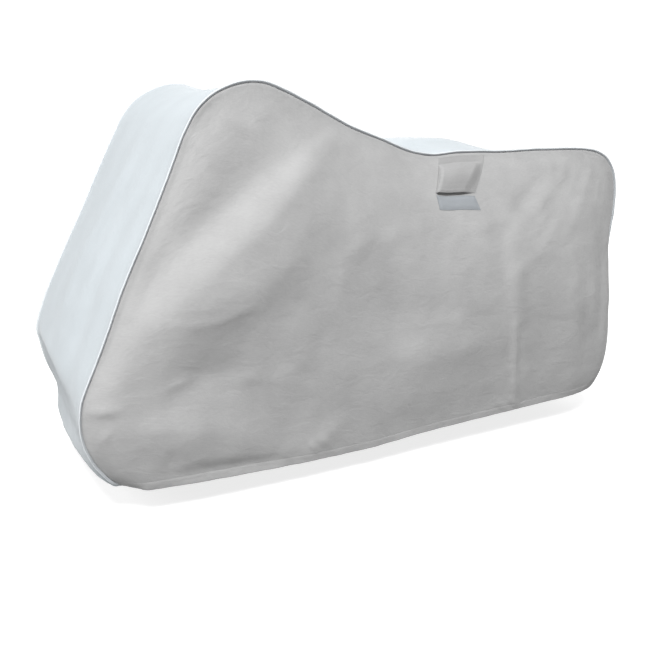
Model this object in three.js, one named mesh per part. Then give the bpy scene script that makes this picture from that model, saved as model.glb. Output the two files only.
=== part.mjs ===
// Fitted cover for an all-terrain vehicle, as it hangs in place: a centre panel that runs from the
// front hem over the peak, the dip and the tail to the back hem, a side panel sewn to each edge of
// it, a standing binding along both seams, and a vent hood with a blank label on the left side.
// Millimetres. +X runs to the back of the cover, +Y to its right and +Z up. The origin lies on the
// centre plane just under the cloth of the peak, where the cover is carried.
import * as THREE from 'three';

// Cloth and trim
const CLOTH = 2;
const GAP = 0.3;
const HEM_BAND = 0.032;
const HEM_STEP = 0.004;
const HEM_THICKNESS = 3;
const HEM_STATIONS = 2;
const TAPE_THICKNESS = 3;
const TAPE_RISE = 10;
const TAPE_ROOT = 4;
const TAPE_LEAN = THREE.MathUtils.degToRad(35);
const PEAK_LEVEL = 1195;

// Grid of the side panels, counted in cells: along the top from the front shoulder to the hood,
// under the hood and on to the tail, and up from the hem to the label, the hood and the seam.
const CELLS_TO_HOOD = 20;
const CELLS_HOOD = 4;
const CELLS_TO_TAIL = 13;
const CELLS_TO_LABEL = 16;
const CELLS_LABEL = 1;
const CELLS_HOOD_DROP = 3;
const LABEL_FOOT = 0.8115;
const HOOD_FOOT = 0.8655;
const CELLS_ACROSS = 10;

// Vent hood and label. The hood leans forward towards its lip, by more at its back corner, which
// also hangs lower. Leans and drops are counted in cells.
const HOOD_FRONT_X = 674;
const HOOD_BACK_X = 859;
const HOOD_SIDE_POWER = 6;
const HOOD_TOP_DROP = 0.2;
const HOOD_FRONT_LEAN = 0.92;
const HOOD_BACK_LEAN = 1.75;
const HOOD_BACK_DROP = 0.25;
const HOOD_COLUMNS = [0, 0.03, 0.12, 0.25, 0.375, 0.5, 0.625, 0.75, 0.88, 0.97, 1];
const LABEL_THICKNESS = 1;
const LABEL_COLUMNS = [0, 0.25, 0.5, 0.75, 1];
const SKIN_SEAT = 0.6;

// How far a fold stays off the seams, the lengths that turn grid shares into distances, and what is
// left of a fold's height at its ends
const SEAM_EASE = 70;
const SEAM_EASE_CELLS = 2;
const PANEL_LENGTH = 1750;
const PANEL_DROP = 1000;
const FOLD_END = 0.35;

const SIDE_LOOK = { color: 0xb4b4b4, roughness: 0.9, metalness: 0 };
const CENTRE_LOOK = { color: 0xd9dee3, roughness: 0.85, metalness: 0 };
const TAPE_LOOK = { color: 0x80888e, roughness: 0.7, metalness: 0 };
const LABEL_LOOK = { color: 0xc3cbd1, roughness: 0.6, metalness: 0 };

// The left seam from the front hem over the top to the back hem: x, level above the ground and half
// width of the centre panel there. The right seam stands farBack behind and farUp above it. Crown
// is how far the middle of the centre panel stands out from the line between the two seams, and
// the smaller full is, the nearer to the seams it does so.
const seamRows = [
  { x: -431, level: 95, half: 408, farBack: 0, farUp: 0, crown: 58, full: 0.35 },
  { x: -462, level: 123, half: 411, farBack: 26, farUp: 0, crown: 49, full: 0.35 },
  { x: -505, level: 191, half: 412, farBack: 47, farUp: 0, crown: 12, full: 0.45 },
  { x: -524, level: 259, half: 412, farBack: 42, farUp: 0, crown: 4, full: 0.8 },
  { x: -519, level: 344, half: 412, farBack: 20, farUp: 0, crown: 5, full: 1 },
  { x: -504, level: 384, half: 412, farBack: 0, farUp: 0, crown: 12, full: 1 },
  { x: -457, level: 485, half: 412, farBack: -14, farUp: 0, crown: 18, full: 1 },
  { x: -384, level: 657, half: 412, farBack: -5, farUp: 0, crown: 20, full: 1 },
  { x: -320, level: 788, half: 412, farBack: 0, farUp: 0, crown: 18, full: 1 },
  { x: -258, level: 921, half: 412, farBack: 3, farUp: 0, crown: 14, full: 1 },
  { x: -195, level: 1061, half: 412, farBack: 13, farUp: 2, crown: 6, full: 1 },
  { x: -160, level: 1116, half: 412, farBack: 13, farUp: 8, crown: 0, full: 1, corner: 'front shoulder' },
  { x: -109, level: 1158, half: 410, farBack: 12, farUp: 21, crown: -6, full: 1 },
  { x: -34, level: 1187, half: 406, farBack: 18, farUp: 35, crown: -12, full: 1 },
  { x: 33, level: 1191, half: 401, farBack: 25, farUp: 42, crown: -14, full: 1 },
  { x: 99, level: 1171, half: 397, farBack: 28, farUp: 43, crown: -12, full: 1 },
  { x: 177, level: 1140, half: 391, farBack: 22, farUp: 34, crown: -4, full: 1 },
  { x: 328, level: 1074, half: 378, farBack: 8, farUp: 20, crown: 10, full: 1 },
  { x: 446, level: 1037, half: 368, farBack: 0, farUp: 10, crown: 20, full: 1 },
  { x: 558, level: 1001, half: 359, farBack: 0, farUp: 5, crown: 36, full: 1 },
  { x: 655, level: 988, half: 356, farBack: 0, farUp: 3, crown: 44, full: 1 },
  { x: 740, level: 995, half: 357, farBack: 0, farUp: 2, crown: 52, full: 1 },
  { x: 850, level: 997, half: 360, farBack: 0, farUp: 2, crown: 50, full: 1 },
  { x: 960, level: 997, half: 364, farBack: 0, farUp: 0, crown: 25, full: 1 },
  { x: 1065, level: 1002, half: 371, farBack: 0, farUp: 0, crown: -12, full: 1 },
  { x: 1176, level: 1004, half: 378, farBack: 0, farUp: 0, crown: -22, full: 1 },
  { x: 1318, level: 1002, half: 386, farBack: 0, farUp: 0, crown: -16, full: 1 },
  { x: 1380, level: 991, half: 388, farBack: 0, farUp: 0, crown: -8, full: 1 },
  { x: 1425, level: 969, half: 388, farBack: 0, farUp: 0, crown: 0, full: 1, corner: 'back shoulder' },
  { x: 1458, level: 930, half: 389, farBack: 0, farUp: 0, crown: 5, full: 1 },
  { x: 1476, level: 868, half: 390, farBack: 0, farUp: 0, crown: 9, full: 1 },
  { x: 1477, level: 781, half: 392, farBack: 0, farUp: 0, crown: 13, full: 1 },
  { x: 1459, level: 668, half: 396, farBack: 0, farUp: 0, crown: 20, full: 1 },
  { x: 1452, level: 500, half: 402, farBack: 0, farUp: 0, crown: 26, full: 1 },
  { x: 1458, level: 350, half: 404, farBack: 0, farUp: 0, crown: 24, full: 1 },
  { x: 1456, level: 241, half: 404, farBack: 0, farUp: 0, crown: 22, full: 1 },
  { x: 1436, level: 160, half: 402, farBack: 0, farUp: 0, crown: 30, full: 0.8 },
  { x: 1410, level: 108, half: 398, farBack: 0, farUp: 0, crown: 40, full: 0.6 },
];

// The hem of a side panel between its two seams, with the right side's own level
const hemRows = [
  { x: -404, half: 438, level: 92, farLevel: 88 },
  { x: -365, half: 458, level: 88, farLevel: 86 },
  { x: -274, half: 474, level: 86, farLevel: 82 },
  { x: 2, half: 484, level: 79, farLevel: 84 },
  { x: 340, half: 486, level: 76, farLevel: 90 },
  { x: 552, half: 482, level: 86, farLevel: 88 },
  { x: 808, half: 480, level: 93, farLevel: 86 },
  { x: 1113, half: 480, level: 100, farLevel: 92 },
  { x: 1262, half: 476, level: 104, farLevel: 98 },
  { x: 1345, half: 464, level: 109, farLevel: 106 },
  { x: 1392, half: 440, level: 111, farLevel: 109 },
];

// How far a side panel stands out past its edges, by its share of the way from front to back, and
// how high up the panel it stands out most, higher for a larger number
const bellyRows = [
  { along: 0, out: 0, high: 1.35 },
  { along: 0.05, out: 28, high: 1.35 },
  { along: 0.14, out: 50, high: 1.35 },
  { along: 0.3, out: 68, high: 1.35 },
  { along: 0.5, out: 77, high: 1.35 },
  { along: 0.8, out: 74, high: 1.25 },
  { along: 0.92, out: 62, high: 0.95 },
  { along: 0.97, out: 38, high: 0.75 },
  { along: 1, out: 0, high: 0.7 },
];

// How far the vent hood stands off the panel, by its share of the way down: sewn flat at its top,
// then out from the crease and in again to its open lip
const hoodRows = [
  { down: 0, stand: 0 },
  { down: 0.12, stand: 0 },
  { down: 0.2, stand: 0 },
  { down: 0.28, stand: 8 },
  { down: 0.37, stand: 14 },
  { down: 0.48, stand: 18 },
  { down: 0.62, stand: 20 },
  { down: 0.8, stand: 18 },
  { down: 1, stand: 13 },
];

// The label's lower and upper edge: cells from the hood's front edge to its two corners, and cells
// up from the label's row of the grid
const labelRows = [
  { front: -0.67, back: 2.66, frontUp: -0.05, backUp: -0.36 },
  { front: -0.92, back: 2.2, frontUp: 0.84, backUp: 0.56 },
];

// Main folds of the left side panel, each a soft ridge (rise above 0) or trough (below 0) that runs
// through three places of the side view
const leftFolds = [
  { name: 'main ridge', x: [235, -80, -390], level: [1015, 740, 470], width: 100, rise: 22 },
  { name: 'second ridge', x: [95, -75, -235], level: [705, 615, 535], width: 70, rise: 13 },
  { name: 'front belly', x: [-460, -235, 25], level: [265, 240, 150], width: 84, rise: 15 },
  { name: 'gather ridge', x: [245, 190, 130], level: [190, 150, 115], width: 26, rise: 4 },
  { name: 'back belly', x: [275, 570, 825], level: [300, 345, 365], width: 80, rise: 16 },
  { name: 'low belly', x: [350, 580, 780], level: [215, 230, 275], width: 64, rise: 9 },
  { name: 'upright crease', x: [925, 940, 970], level: [560, 350, 130], width: 26, rise: 11 },
  { name: 'rear edge hollow', x: [1365, 1350, 1355], level: [735, 505, 235], width: 37, rise: -14 },
  { name: 'tail pull', x: [1125, 985, 900], level: [785, 650, 575], width: 32, rise: 6 },
  { name: 'dip pull', x: [490, 330, 210], level: [900, 800, 725], width: 83, rise: 8 },
  { name: 'upper hollow', x: [50, -235, -390], level: [1000, 765, 585], width: 60, rise: -18 },
  { name: 'ridge foot', x: [275, 140, -10], level: [935, 800, 675], width: 57, rise: 5 },
  { name: 'deep hollow', x: [-315, -200, -60], level: [410, 400, 410], width: 64, rise: -11 },
  { name: 'front hem tuck', x: [-325, -140, 80], level: [120, 115, 95], width: 26, rise: -9 },
  { name: 'back hollow', x: [1090, 1065, 1050], level: [595, 385, 175], width: 52, rise: -5 },
  { name: 'tail hollow', x: [1090, 990, 905], level: [915, 840, 760], width: 31, rise: -5 },
  { name: 'pull hollow', x: [1180, 1060, 960], level: [845, 735, 630], width: 26, rise: -5 },
  { name: 'rear hollow', x: [1255, 1275, 1305], level: [590, 365, 175], width: 40, rise: -12 },
  { name: 'middle hollow', x: [220, 385, 560], level: [550, 520, 515], width: 116, rise: -16 },
  { name: 'low hollow', x: [200, 375, 530], level: [255, 320, 330], width: 53, rise: -4 },
];

// The right side is out of the photograph's sight, so its folds are plain ones of the same kind
const rightFolds = [
  { name: 'main ridge', x: [250, -60, -430], level: [1060, 840, 560], width: 68, rise: 20 },
  { name: 'lower valley', x: [290, -20, -330], level: [860, 660, 460], width: 88, rise: -17 },
  { name: 'lower ridge', x: [-490, -200, 120], level: [310, 335, 410], width: 66, rise: 13 },
  { name: 'front hem tuck', x: [-280, -120, 30], level: [140, 130, 124], width: 42, rise: -10 },
  { name: 'back belly', x: [350, 620, 880], level: [470, 500, 440], width: 98, rise: 14 },
  { name: 'upright crease', x: [700, 690, 702], level: [420, 280, 105], width: 30, rise: 9 },
  { name: 'hem tuck', x: [250, 400, 550], level: [165, 140, 130], width: 40, rise: -10 },
  { name: 'back hollow', x: [1110, 1090, 1050], level: [560, 400, 210], width: 85, rise: -15 },
  { name: 'shoulder pull', x: [1290, 1185, 1040], level: [950, 810, 700], width: 46, rise: 11 },
  { name: 'dip pull', x: [640, 520, 330], level: [930, 820, 720], width: 50, rise: -9 },
];

// Folds of the centre panel, by the way along it from the front hem and the place across it
const centreFolds = [
  { name: 'front streak', along: [240, 620, 1080], y: [-60, 60, -40], width: 75, rise: 7 },
  { name: 'front hollow', along: [250, 600, 950], y: [-230, -190, -260], width: 55, rise: -7 },
  { name: 'nose crease', along: [330, 300, 270], y: [330, 60, -250], width: 34, rise: 8 },
  { name: 'nose tuck', along: [215, 200, 190], y: [280, 0, -280], width: 40, rise: -7 },
  { name: 'peak sag', along: [1290, 1400, 1560], y: [-60, 40, -20], width: 110, rise: -7 },
  { name: 'slope pull', along: [1520, 1750, 2000], y: [290, 160, 130], width: 60, rise: 8 },
  { name: 'slope hollow', along: [1560, 1760, 1960], y: [-60, -120, -250], width: 70, rise: -9 },
  { name: 'dip edge left', along: [1960, 2200, 2480], y: [-150, -165, -140], width: 55, rise: 8 },
  { name: 'dip edge right', along: [1960, 2200, 2480], y: [150, 160, 135], width: 55, rise: 8 },
  { name: 'tail sag', along: [2560, 2680, 2830], y: [-120, 30, 160], width: 90, rise: -8 },
  { name: 'back ridge', along: [3020, 3320, 3720], y: [-170, -120, -210], width: 58, rise: 9 },
  { name: 'back valley', along: [3050, 3400, 3760], y: [60, 20, 90], width: 70, rise: -10 },
  { name: 'back pull', along: [2990, 3220, 3500], y: [300, 220, 240], width: 48, rise: 8 },
];

function smooth(share) {
  const t = THREE.MathUtils.clamp(share, 0, 1);
  return t * t * (3 - 2 * t);
}

// A smooth curve through a table's rows, read at any place along its first column
function throughRows(places, values) {
  const slopes = values.map((value, k) => {
    const a = Math.max(k - 1, 0);
    const b = Math.min(k + 1, values.length - 1);
    return (values[b] - values[a]) / (places[b] - places[a]);
  });
  return (place) => {
    let k = 0;
    while (k < places.length - 2 && place > places[k + 1]) k += 1;
    const span = places[k + 1] - places[k];
    const t = (place - places[k]) / span;
    const rise = values[k + 1] - values[k];
    const enter = slopes[k] * span;
    const leave = slopes[k + 1] * span;
    return values[k] + t * (enter + t * (3 * rise - 2 * enter - leave + t * (enter + leave - 2 * rise)));
  };
}

// Height of one fold at a place: a bell across its run, softened towards both ends
function foldHeight(run, width, rise, px, py) {
  let best = Infinity;
  let share = 0;
  for (let k = 0; k < 2; k += 1) {
    const [ax, ay] = run[k];
    const dx = run[k + 1][0] - ax;
    const dy = run[k + 1][1] - ay;
    const t = THREE.MathUtils.clamp(((px - ax) * dx + (py - ay) * dy) / (dx * dx + dy * dy), 0, 1);
    const away = Math.hypot(px - ax - t * dx, py - ay - t * dy);
    if (away < best) {
      best = away;
      share = (k + t) / 2;
    }
  }
  const ends = FOLD_END + (1 - FOLD_END) * Math.sin(Math.PI * share);
  return rise * ends * Math.exp(-((best / width) ** 2));
}

function foldsAt(folds, key, value, px, py) {
  let sum = 0;
  for (const fold of folds) {
    const run = fold[key].map((a, k) => [a, fold[value][k]]);
    sum += foldHeight(run, fold.width, fold.rise, px, py);
  }
  return sum;
}

// Shares of the way along a panel's side, cell by cell
function shares(stops, cells) {
  const out = [stops[0]];
  cells.forEach((count, k) => {
    for (let n = 1; n <= count; n += 1) {
      out.push(stops[k] + ((stops[k + 1] - stops[k]) * n) / count);
    }
  });
  return out;
}

// Both seams as curves, with the same rows at the same parameter
const STEPS_PER_ROW = 40;
const lastRow = seamRows.length - 1;
const leftSeam = new THREE.CatmullRomCurve3(
  seamRows.map((row) => new THREE.Vector3(row.x, -row.half, row.level - PEAK_LEVEL)),
  false,
  'centripetal',
);
const rightSeam = new THREE.CatmullRomCurve3(
  seamRows.map((r) => new THREE.Vector3(r.x + r.farBack, r.half, r.level + r.farUp - PEAK_LEVEL)),
  false,
  'centripetal',
);
leftSeam.arcLengthDivisions = lastRow * STEPS_PER_ROW;
const seamLengths = leftSeam.getLengths();
const seamLength = seamLengths[seamLengths.length - 1];

function lengthAtRow(index) {
  return seamLengths[index * STEPS_PER_ROW];
}

const frontShoulder = seamRows.findIndex((row) => row.corner === 'front shoulder');
const backShoulder = seamRows.findIndex((row) => row.corner === 'back shoulder');

// The length along the seam at a place on its top, between the two shoulders
function lengthAtX(x) {
  const from = seamRows.findIndex((row, k) => k > frontShoulder && row.x > x) - 1;
  const t = (x - seamRows[from].x) / (seamRows[from + 1].x - seamRows[from].x);
  return THREE.MathUtils.lerp(lengthAtRow(from), lengthAtRow(from + 1), t);
}

// Stations along the seams: up the front, along the top and down the back, so that the panels and
// the bindings meet point by point
const frontLength = lengthAtRow(frontShoulder);
const backStart = lengthAtRow(backShoulder);
const topLength = backStart - frontLength;
const hoodStops = [HOOD_FRONT_X, HOOD_BACK_X].map((x) => (lengthAtX(x) - frontLength) / topLength);
const alongShares = shares([0, ...hoodStops, 1], [CELLS_TO_HOOD, CELLS_HOOD, CELLS_TO_TAIL]);
const upShares = shares(
  [0, HEM_BAND, HEM_BAND + HEM_STEP, LABEL_FOOT, HOOD_FOOT, 1],
  [1, 1, CELLS_TO_LABEL, CELLS_LABEL, CELLS_HOOD_DROP],
);
const cellsUp = upShares.length - 1;
const cellsAlong = alongShares.length - 1;
const stationLengths = [
  ...upShares.map((share) => share * frontLength),
  ...alongShares.slice(1, -1).map((share) => frontLength + share * topLength),
  ...upShares.map((share) => backStart + (1 - share) * (seamLength - backStart)).reverse(),
];
const lastStation = stationLengths.length - 1;

// Where a seam's binding stands at each station: it leans out between the two cloths
function seamFrames(curve, side) {
  return stationLengths.map((length) => {
    const t = leftSeam.getUtoTmapping(0, length);
    const along = curve.getTangent(t);
    const outward = new THREE.Vector3(0, side, 0);
    outward.addScaledVector(along, -outward.dot(along)).normalize();
    const up = new THREE.Vector3().crossVectors(along, outward).multiplyScalar(side);
    const stand = up.clone().multiplyScalar(Math.cos(TAPE_LEAN));
    stand.addScaledVector(outward, Math.sin(TAPE_LEAN));
    const across = up.clone().multiplyScalar(Math.sin(TAPE_LEAN));
    across.addScaledVector(outward, -Math.cos(TAPE_LEAN));
    return { at: curve.getPoint(t), stand, across, t };
  });
}

const seams = { left: seamFrames(leftSeam, -1), right: seamFrames(rightSeam, 1) };
const CLOTH_EDGE = TAPE_THICKNESS / 2 + GAP;

function centreEdge(frame) {
  return frame.at.clone().addScaledVector(frame.across, CLOTH_EDGE);
}

function sideEdge(frame) {
  return frame.at.clone().addScaledVector(frame.across, -CLOTH_EDGE);
}

// Unit normals of a grid of points, turned to the outside by the sign
function gridNormals(grid, sign) {
  const rows = grid.length - 1;
  const columns = grid[0].length - 1;
  return grid.map((row, i) => row.map((point, j) => {
    const a = grid[Math.min(i + 1, rows)][j].clone().sub(grid[Math.max(i - 1, 0)][j]);
    const b = grid[i][Math.min(j + 1, columns)].clone().sub(grid[i][Math.max(j - 1, 0)]);
    return a.cross(b).normalize().multiplyScalar(sign);
  }));
}

// A closed sheet around a grid of points: offsets run from the middle of the cloth to its outer
// skin, and the rim joins the two skins
function sheet(grid, offsets, sign) {
  const rows = grid.length;
  const columns = grid[0].length;
  const skin = rows * columns;
  const positions = [];
  for (const way of [1, -1]) {
    grid.forEach((row, i) => row.forEach((point, j) => {
      positions.push(...point.clone().addScaledVector(offsets[i][j], way).toArray());
    }));
  }
  const index = [];
  const triangle = (a, b, c) => index.push(...(sign > 0 ? [a, b, c] : [a, c, b]));
  for (let i = 0; i < rows - 1; i += 1) {
    for (let j = 0; j < columns - 1; j += 1) {
      const a = i * columns + j;
      const b = a + columns;
      const c = b + 1;
      const d = a + 1;
      const oneWay = grid[i][j].distanceTo(grid[i + 1][j + 1]);
      const otherWay = grid[i + 1][j].distanceTo(grid[i][j + 1]);
      const faces = oneWay <= otherWay ? [[a, b, c], [a, c, d]] : [[a, b, d], [b, c, d]];
      for (const [p, q, r] of faces) {
        triangle(p, q, r);
        triangle(p + skin, r + skin, q + skin);
      }
    }
  }
  const rim = [];
  for (let i = 0; i < rows - 1; i += 1) rim.push(i * columns);
  for (let j = 0; j < columns - 1; j += 1) rim.push((rows - 1) * columns + j);
  for (let i = rows - 1; i > 0; i -= 1) rim.push(i * columns + columns - 1);
  for (let j = columns - 1; j > 0; j -= 1) rim.push(j);
  rim.forEach((a, k) => {
    const b = rim[(k + 1) % rim.length];
    triangle(a, a + skin, b + skin);
    triangle(a, b + skin, b);
  });
  const geometry = new THREE.BufferGeometry();
  geometry.setAttribute('position', new THREE.Float32BufferAttribute(positions, 3));
  geometry.setIndex(index);
  return geometry;
}

function halfCloth(station) {
  return (station < HEM_STATIONS ? HEM_THICKNESS : CLOTH) / 2;
}

// The middle of a side panel's cloth, as a grid from front to back and from hem to seam
function sideGrid(side) {
  const sign = side === 'left' ? -1 : 1;
  const frames = seams[side];
  const front = frames.slice(0, cellsUp + 1).map(sideEdge);
  const top = frames.slice(cellsUp, cellsUp + cellsAlong + 1).map(sideEdge);
  const back = frames.slice(cellsUp + cellsAlong).map(sideEdge).reverse();
  const levelKey = side === 'left' ? 'level' : 'farLevel';
  const hemCurve = new THREE.CatmullRomCurve3([
    front[0],
    ...hemRows.map((row) => new THREE.Vector3(row.x, sign * row.half, row[levelKey] - PEAK_LEVEL)),
    back[0],
  ], false, 'centripetal');
  const hem = alongShares.map((share) => hemCurve.getPointAt(share));
  const bellyPlaces = bellyRows.map((row) => row.along);
  const belly = throughRows(bellyPlaces, bellyRows.map((row) => row.out));
  const high = throughRows(bellyPlaces, bellyRows.map((row) => row.high));
  const grid = alongShares.map((u, i) => upShares.map((v, j) => {
    const point = new THREE.Vector3();
    point.addScaledVector(front[j], 1 - u).addScaledVector(back[j], u);
    point.addScaledVector(hem[i], 1 - v).addScaledVector(top[i], v);
    point.addScaledVector(front[0], -(1 - u) * (1 - v)).addScaledVector(back[0], -u * (1 - v));
    point.addScaledVector(front[cellsUp], -(1 - u) * v).addScaledVector(back[cellsUp], -u * v);
    point.y += sign * belly(u) * Math.sin(Math.PI * v ** high(u));
    return point;
  }));
  const folds = side === 'left' ? leftFolds : rightFolds;
  const normals = gridNormals(grid, -sign);
  return grid.map((row, i) => row.map((point, j) => {
    const u = alongShares[i];
    const v = upShares[j];
    const away = Math.min(u * PANEL_LENGTH, (1 - u) * PANEL_LENGTH, (1 - v) * PANEL_DROP);
    const rise = foldsAt(folds, 'x', 'level', point.x, point.z + PEAK_LEVEL) * smooth(away / SEAM_EASE);
    return point.clone().addScaledVector(normals[i][j], rise);
  }));
}

// The middle of the centre panel's cloth, as a grid from the front hem to the back hem and from
// the left seam to the right one
function centreGrid() {
  const rowPlaces = seamRows.map((row, k) => k / lastRow);
  const crown = throughRows(rowPlaces, seamRows.map((row) => row.crown));
  const full = throughRows(rowPlaces, seamRows.map((row) => row.full));
  const grid = seams.left.map((frame, i) => {
    const from = centreEdge(frame);
    const to = centreEdge(seams.right[i]);
    const along = leftSeam.getTangent(frame.t);
    const up = new THREE.Vector3(-along.z, 0, Math.max(along.x, 0)).normalize();
    return Array.from({ length: CELLS_ACROSS + 1 }, (unused, j) => {
      const w = j / CELLS_ACROSS;
      const point = from.clone().lerp(to, w);
      const arch = Math.max(Math.sin(Math.PI * w), 0) ** full(frame.t);
      return point.addScaledVector(up, crown(frame.t) * arch);
    });
  });
  const normals = gridNormals(grid, 1);
  return grid.map((row, i) => row.map((point, j) => {
    const away = Math.min(j, CELLS_ACROSS - j) / SEAM_EASE_CELLS;
    const rise = foldsAt(centreFolds, 'along', 'y', stationLengths[i], point.y) * smooth(away);
    return point.clone().addScaledVector(normals[i][j], rise);
  }));
}

// Offsets to the outer skin: along the cloth's own normal, and at a seam along the binding's side
function sideOffsets(grid, side, sign) {
  const frames = seams[side];
  return gridNormals(grid, sign).map((row, i) => row.map((normal, j) => {
    const half = halfCloth(j);
    let frame = null;
    if (i === 0) frame = frames[j];
    else if (i === cellsAlong) frame = frames[lastStation - j];
    else if (j === cellsUp) frame = frames[cellsUp + i];
    if (!frame) return normal.multiplyScalar(half);
    return frame.stand.clone().multiplyScalar(half / Math.sin(TAPE_LEAN));
  }));
}

function centreOffsets(grid) {
  return gridNormals(grid, 1).map((row, i) => row.map((normal, j) => {
    const half = halfCloth(Math.min(i, lastStation - i));
    const edge = { 0: seams.left[i], [CELLS_ACROSS]: seams.right[i] }[j];
    if (!edge) return normal.multiplyScalar(half);
    return edge.stand.clone().multiplyScalar(half / Math.cos(TAPE_LEAN));
  }));
}

// The binding: a flat tape that stands between the two cloths along a whole seam
function binding(side) {
  const sign = side === 'left' ? 1 : -1;
  const corners = [[-1, -TAPE_ROOT], [1, -TAPE_ROOT], [1, TAPE_RISE], [-1, TAPE_RISE]];
  const positions = [];
  for (const frame of seams[side]) {
    for (const [way, rise] of corners) {
      const point = frame.at.clone().addScaledVector(frame.across, (way * TAPE_THICKNESS) / 2);
      positions.push(...point.addScaledVector(frame.stand, rise).toArray());
    }
  }
  const index = [];
  const triangle = (a, b, c) => index.push(...(sign > 0 ? [a, b, c] : [a, c, b]));
  for (let i = 0; i < lastStation; i += 1) {
    for (let k = 0; k < 4; k += 1) {
      const a = i * 4 + k;
      const b = i * 4 + ((k + 1) % 4);
      triangle(a, b, b + 4);
      triangle(a, b + 4, a + 4);
    }
  }
  const end = lastStation * 4;
  triangle(0, 2, 1);
  triangle(0, 3, 2);
  triangle(end, end + 1, end + 2);
  triangle(end, end + 2, end + 3);
  const geometry = new THREE.BufferGeometry();
  geometry.setAttribute('position', new THREE.Float32BufferAttribute(positions, 3));
  geometry.setIndex(index);
  return geometry;
}

// A place on the outer skin of a side panel, counted in cells, and the way out of the cloth there
function onSkin(grid, offsets, i, j) {
  const a = Math.min(Math.floor(i), grid.length - 2);
  const b = Math.min(Math.floor(j), grid[0].length - 2);
  const at = new THREE.Vector3();
  const out = new THREE.Vector3();
  for (const [m, n] of [[0, 0], [1, 0], [0, 1], [1, 1]]) {
    const weight = (m ? i - a : 1 - i + a) * (n ? j - b : 1 - j + b);
    at.addScaledVector(grid[a + m][b + n], weight).addScaledVector(offsets[a + m][b + n], weight);
    out.addScaledVector(offsets[a + m][b + n], weight);
  }
  return { at, out: out.normalize() };
}

// The vent hood: sewn down at its top and both sides, and open along its lower edge
function ventHood(grid, offsets) {
  const top = cellsUp - HOOD_TOP_DROP;
  const foot = cellsUp - CELLS_HOOD_DROP;
  const half = CLOTH / 2;
  const middle = [];
  const halves = [];
  for (const a of HOOD_COLUMNS) {
    const lean = THREE.MathUtils.lerp(HOOD_FRONT_LEAN, HOOD_BACK_LEAN, a);
    const lip = foot - a * HOOD_BACK_DROP;
    const open = 1 - Math.abs(2 * a - 1) ** HOOD_SIDE_POWER;
    const column = hoodRows.map(({ down, stand }) => {
      const across = CELLS_TO_HOOD + a * CELLS_HOOD - down * lean;
      const { at, out } = onSkin(grid, offsets, across, top + (lip - top) * down);
      at.addScaledVector(out, SKIN_SEAT + half + stand * open);
      return { at, out: out.multiplyScalar(half) };
    });
    column.reverse();
    middle.push(column.map((place) => place.at));
    halves.push(column.map((place) => place.out));
  }
  return sheet(middle, halves, 1);
}

// The blank label: a flat strip sewn on under the hood, a little askew as the hood is
function blankLabel(grid, offsets) {
  const foot = cellsUp - CELLS_HOOD_DROP - CELLS_LABEL;
  const half = LABEL_THICKNESS / 2;
  const middle = [];
  const halves = [];
  for (const a of LABEL_COLUMNS) {
    const column = labelRows.map(({ front, back, frontUp, backUp }) => {
      const across = CELLS_TO_HOOD + THREE.MathUtils.lerp(front, back, a);
      const up = foot + THREE.MathUtils.lerp(frontUp, backUp, a);
      const { at, out } = onSkin(grid, offsets, across, up);
      at.addScaledVector(out, SKIN_SEAT + half);
      return { at, out: out.multiplyScalar(half) };
    });
    middle.push(column.map((place) => place.at));
    halves.push(column.map((place) => place.out));
  }
  return sheet(middle, halves, 1);
}

function mesh(name, geometry, look) {
  const piece = new THREE.Mesh(geometry, new THREE.MeshStandardMaterial(look));
  piece.name = name;
  return piece;
}

const cover = new THREE.Group();
const centre = centreGrid();
cover.add(mesh('centre_panel', sheet(centre, centreOffsets(centre), 1), CENTRE_LOOK));
for (const [side, sign] of [['left', 1], ['right', -1]]) {
  const grid = sideGrid(side);
  const offsets = sideOffsets(grid, side, sign);
  cover.add(mesh(`side_panel_${side}`, sheet(grid, offsets, sign), SIDE_LOOK));
  cover.add(mesh(`seam_binding_${side}`, binding(side), TAPE_LOOK));
  if (side === 'left') {
    cover.add(mesh('vent_hood', ventHood(grid, offsets), SIDE_LOOK));
    cover.add(mesh('blank_label', blankLabel(grid, offsets), LABEL_LOOK));
  }
}

export default cover;
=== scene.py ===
"""Looks of the fitted cover for an all-terrain vehicle.

The cover hangs as over a vehicle: a centre panel runs from the front hem over the peak, the
dip and the tail to the back hem, its colour painted paler than the side panels' to stand in
for the stronger light on its top and front; a grey side panel is sewn to each edge of it
under a folded tape, and a vent hood with a blank label sits on the left side. The cloths are
laid as fine grids on the same seam table as the solids, and their creases are placed in the
tables below.
Tables are in millimetres, meshes in metres. +X runs to the back, +Y to the right and +Z up.
"""

import logging  # noqa: E402
import math  # noqa: E402
from dataclasses import dataclass, field  # noqa: E402
from enum import Enum  # noqa: E402

import bpy  # noqa: E402
import numpy as np  # noqa: E402
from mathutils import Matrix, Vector, kdtree  # noqa: E402

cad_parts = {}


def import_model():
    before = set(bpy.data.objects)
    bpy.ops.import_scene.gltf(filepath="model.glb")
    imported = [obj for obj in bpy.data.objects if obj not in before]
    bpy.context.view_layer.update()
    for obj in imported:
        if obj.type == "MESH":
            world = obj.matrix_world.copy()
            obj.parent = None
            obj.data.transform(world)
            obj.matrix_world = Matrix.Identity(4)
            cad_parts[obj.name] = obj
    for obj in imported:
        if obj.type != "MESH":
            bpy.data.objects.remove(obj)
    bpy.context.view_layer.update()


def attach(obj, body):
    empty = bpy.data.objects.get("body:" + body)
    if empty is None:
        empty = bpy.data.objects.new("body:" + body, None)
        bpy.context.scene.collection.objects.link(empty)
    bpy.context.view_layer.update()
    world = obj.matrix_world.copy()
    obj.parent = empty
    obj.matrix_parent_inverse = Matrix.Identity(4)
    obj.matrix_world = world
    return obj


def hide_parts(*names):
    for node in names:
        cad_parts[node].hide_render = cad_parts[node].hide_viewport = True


log = logging.getLogger("cover")

Socket = bpy.types.NodeSocket

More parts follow.
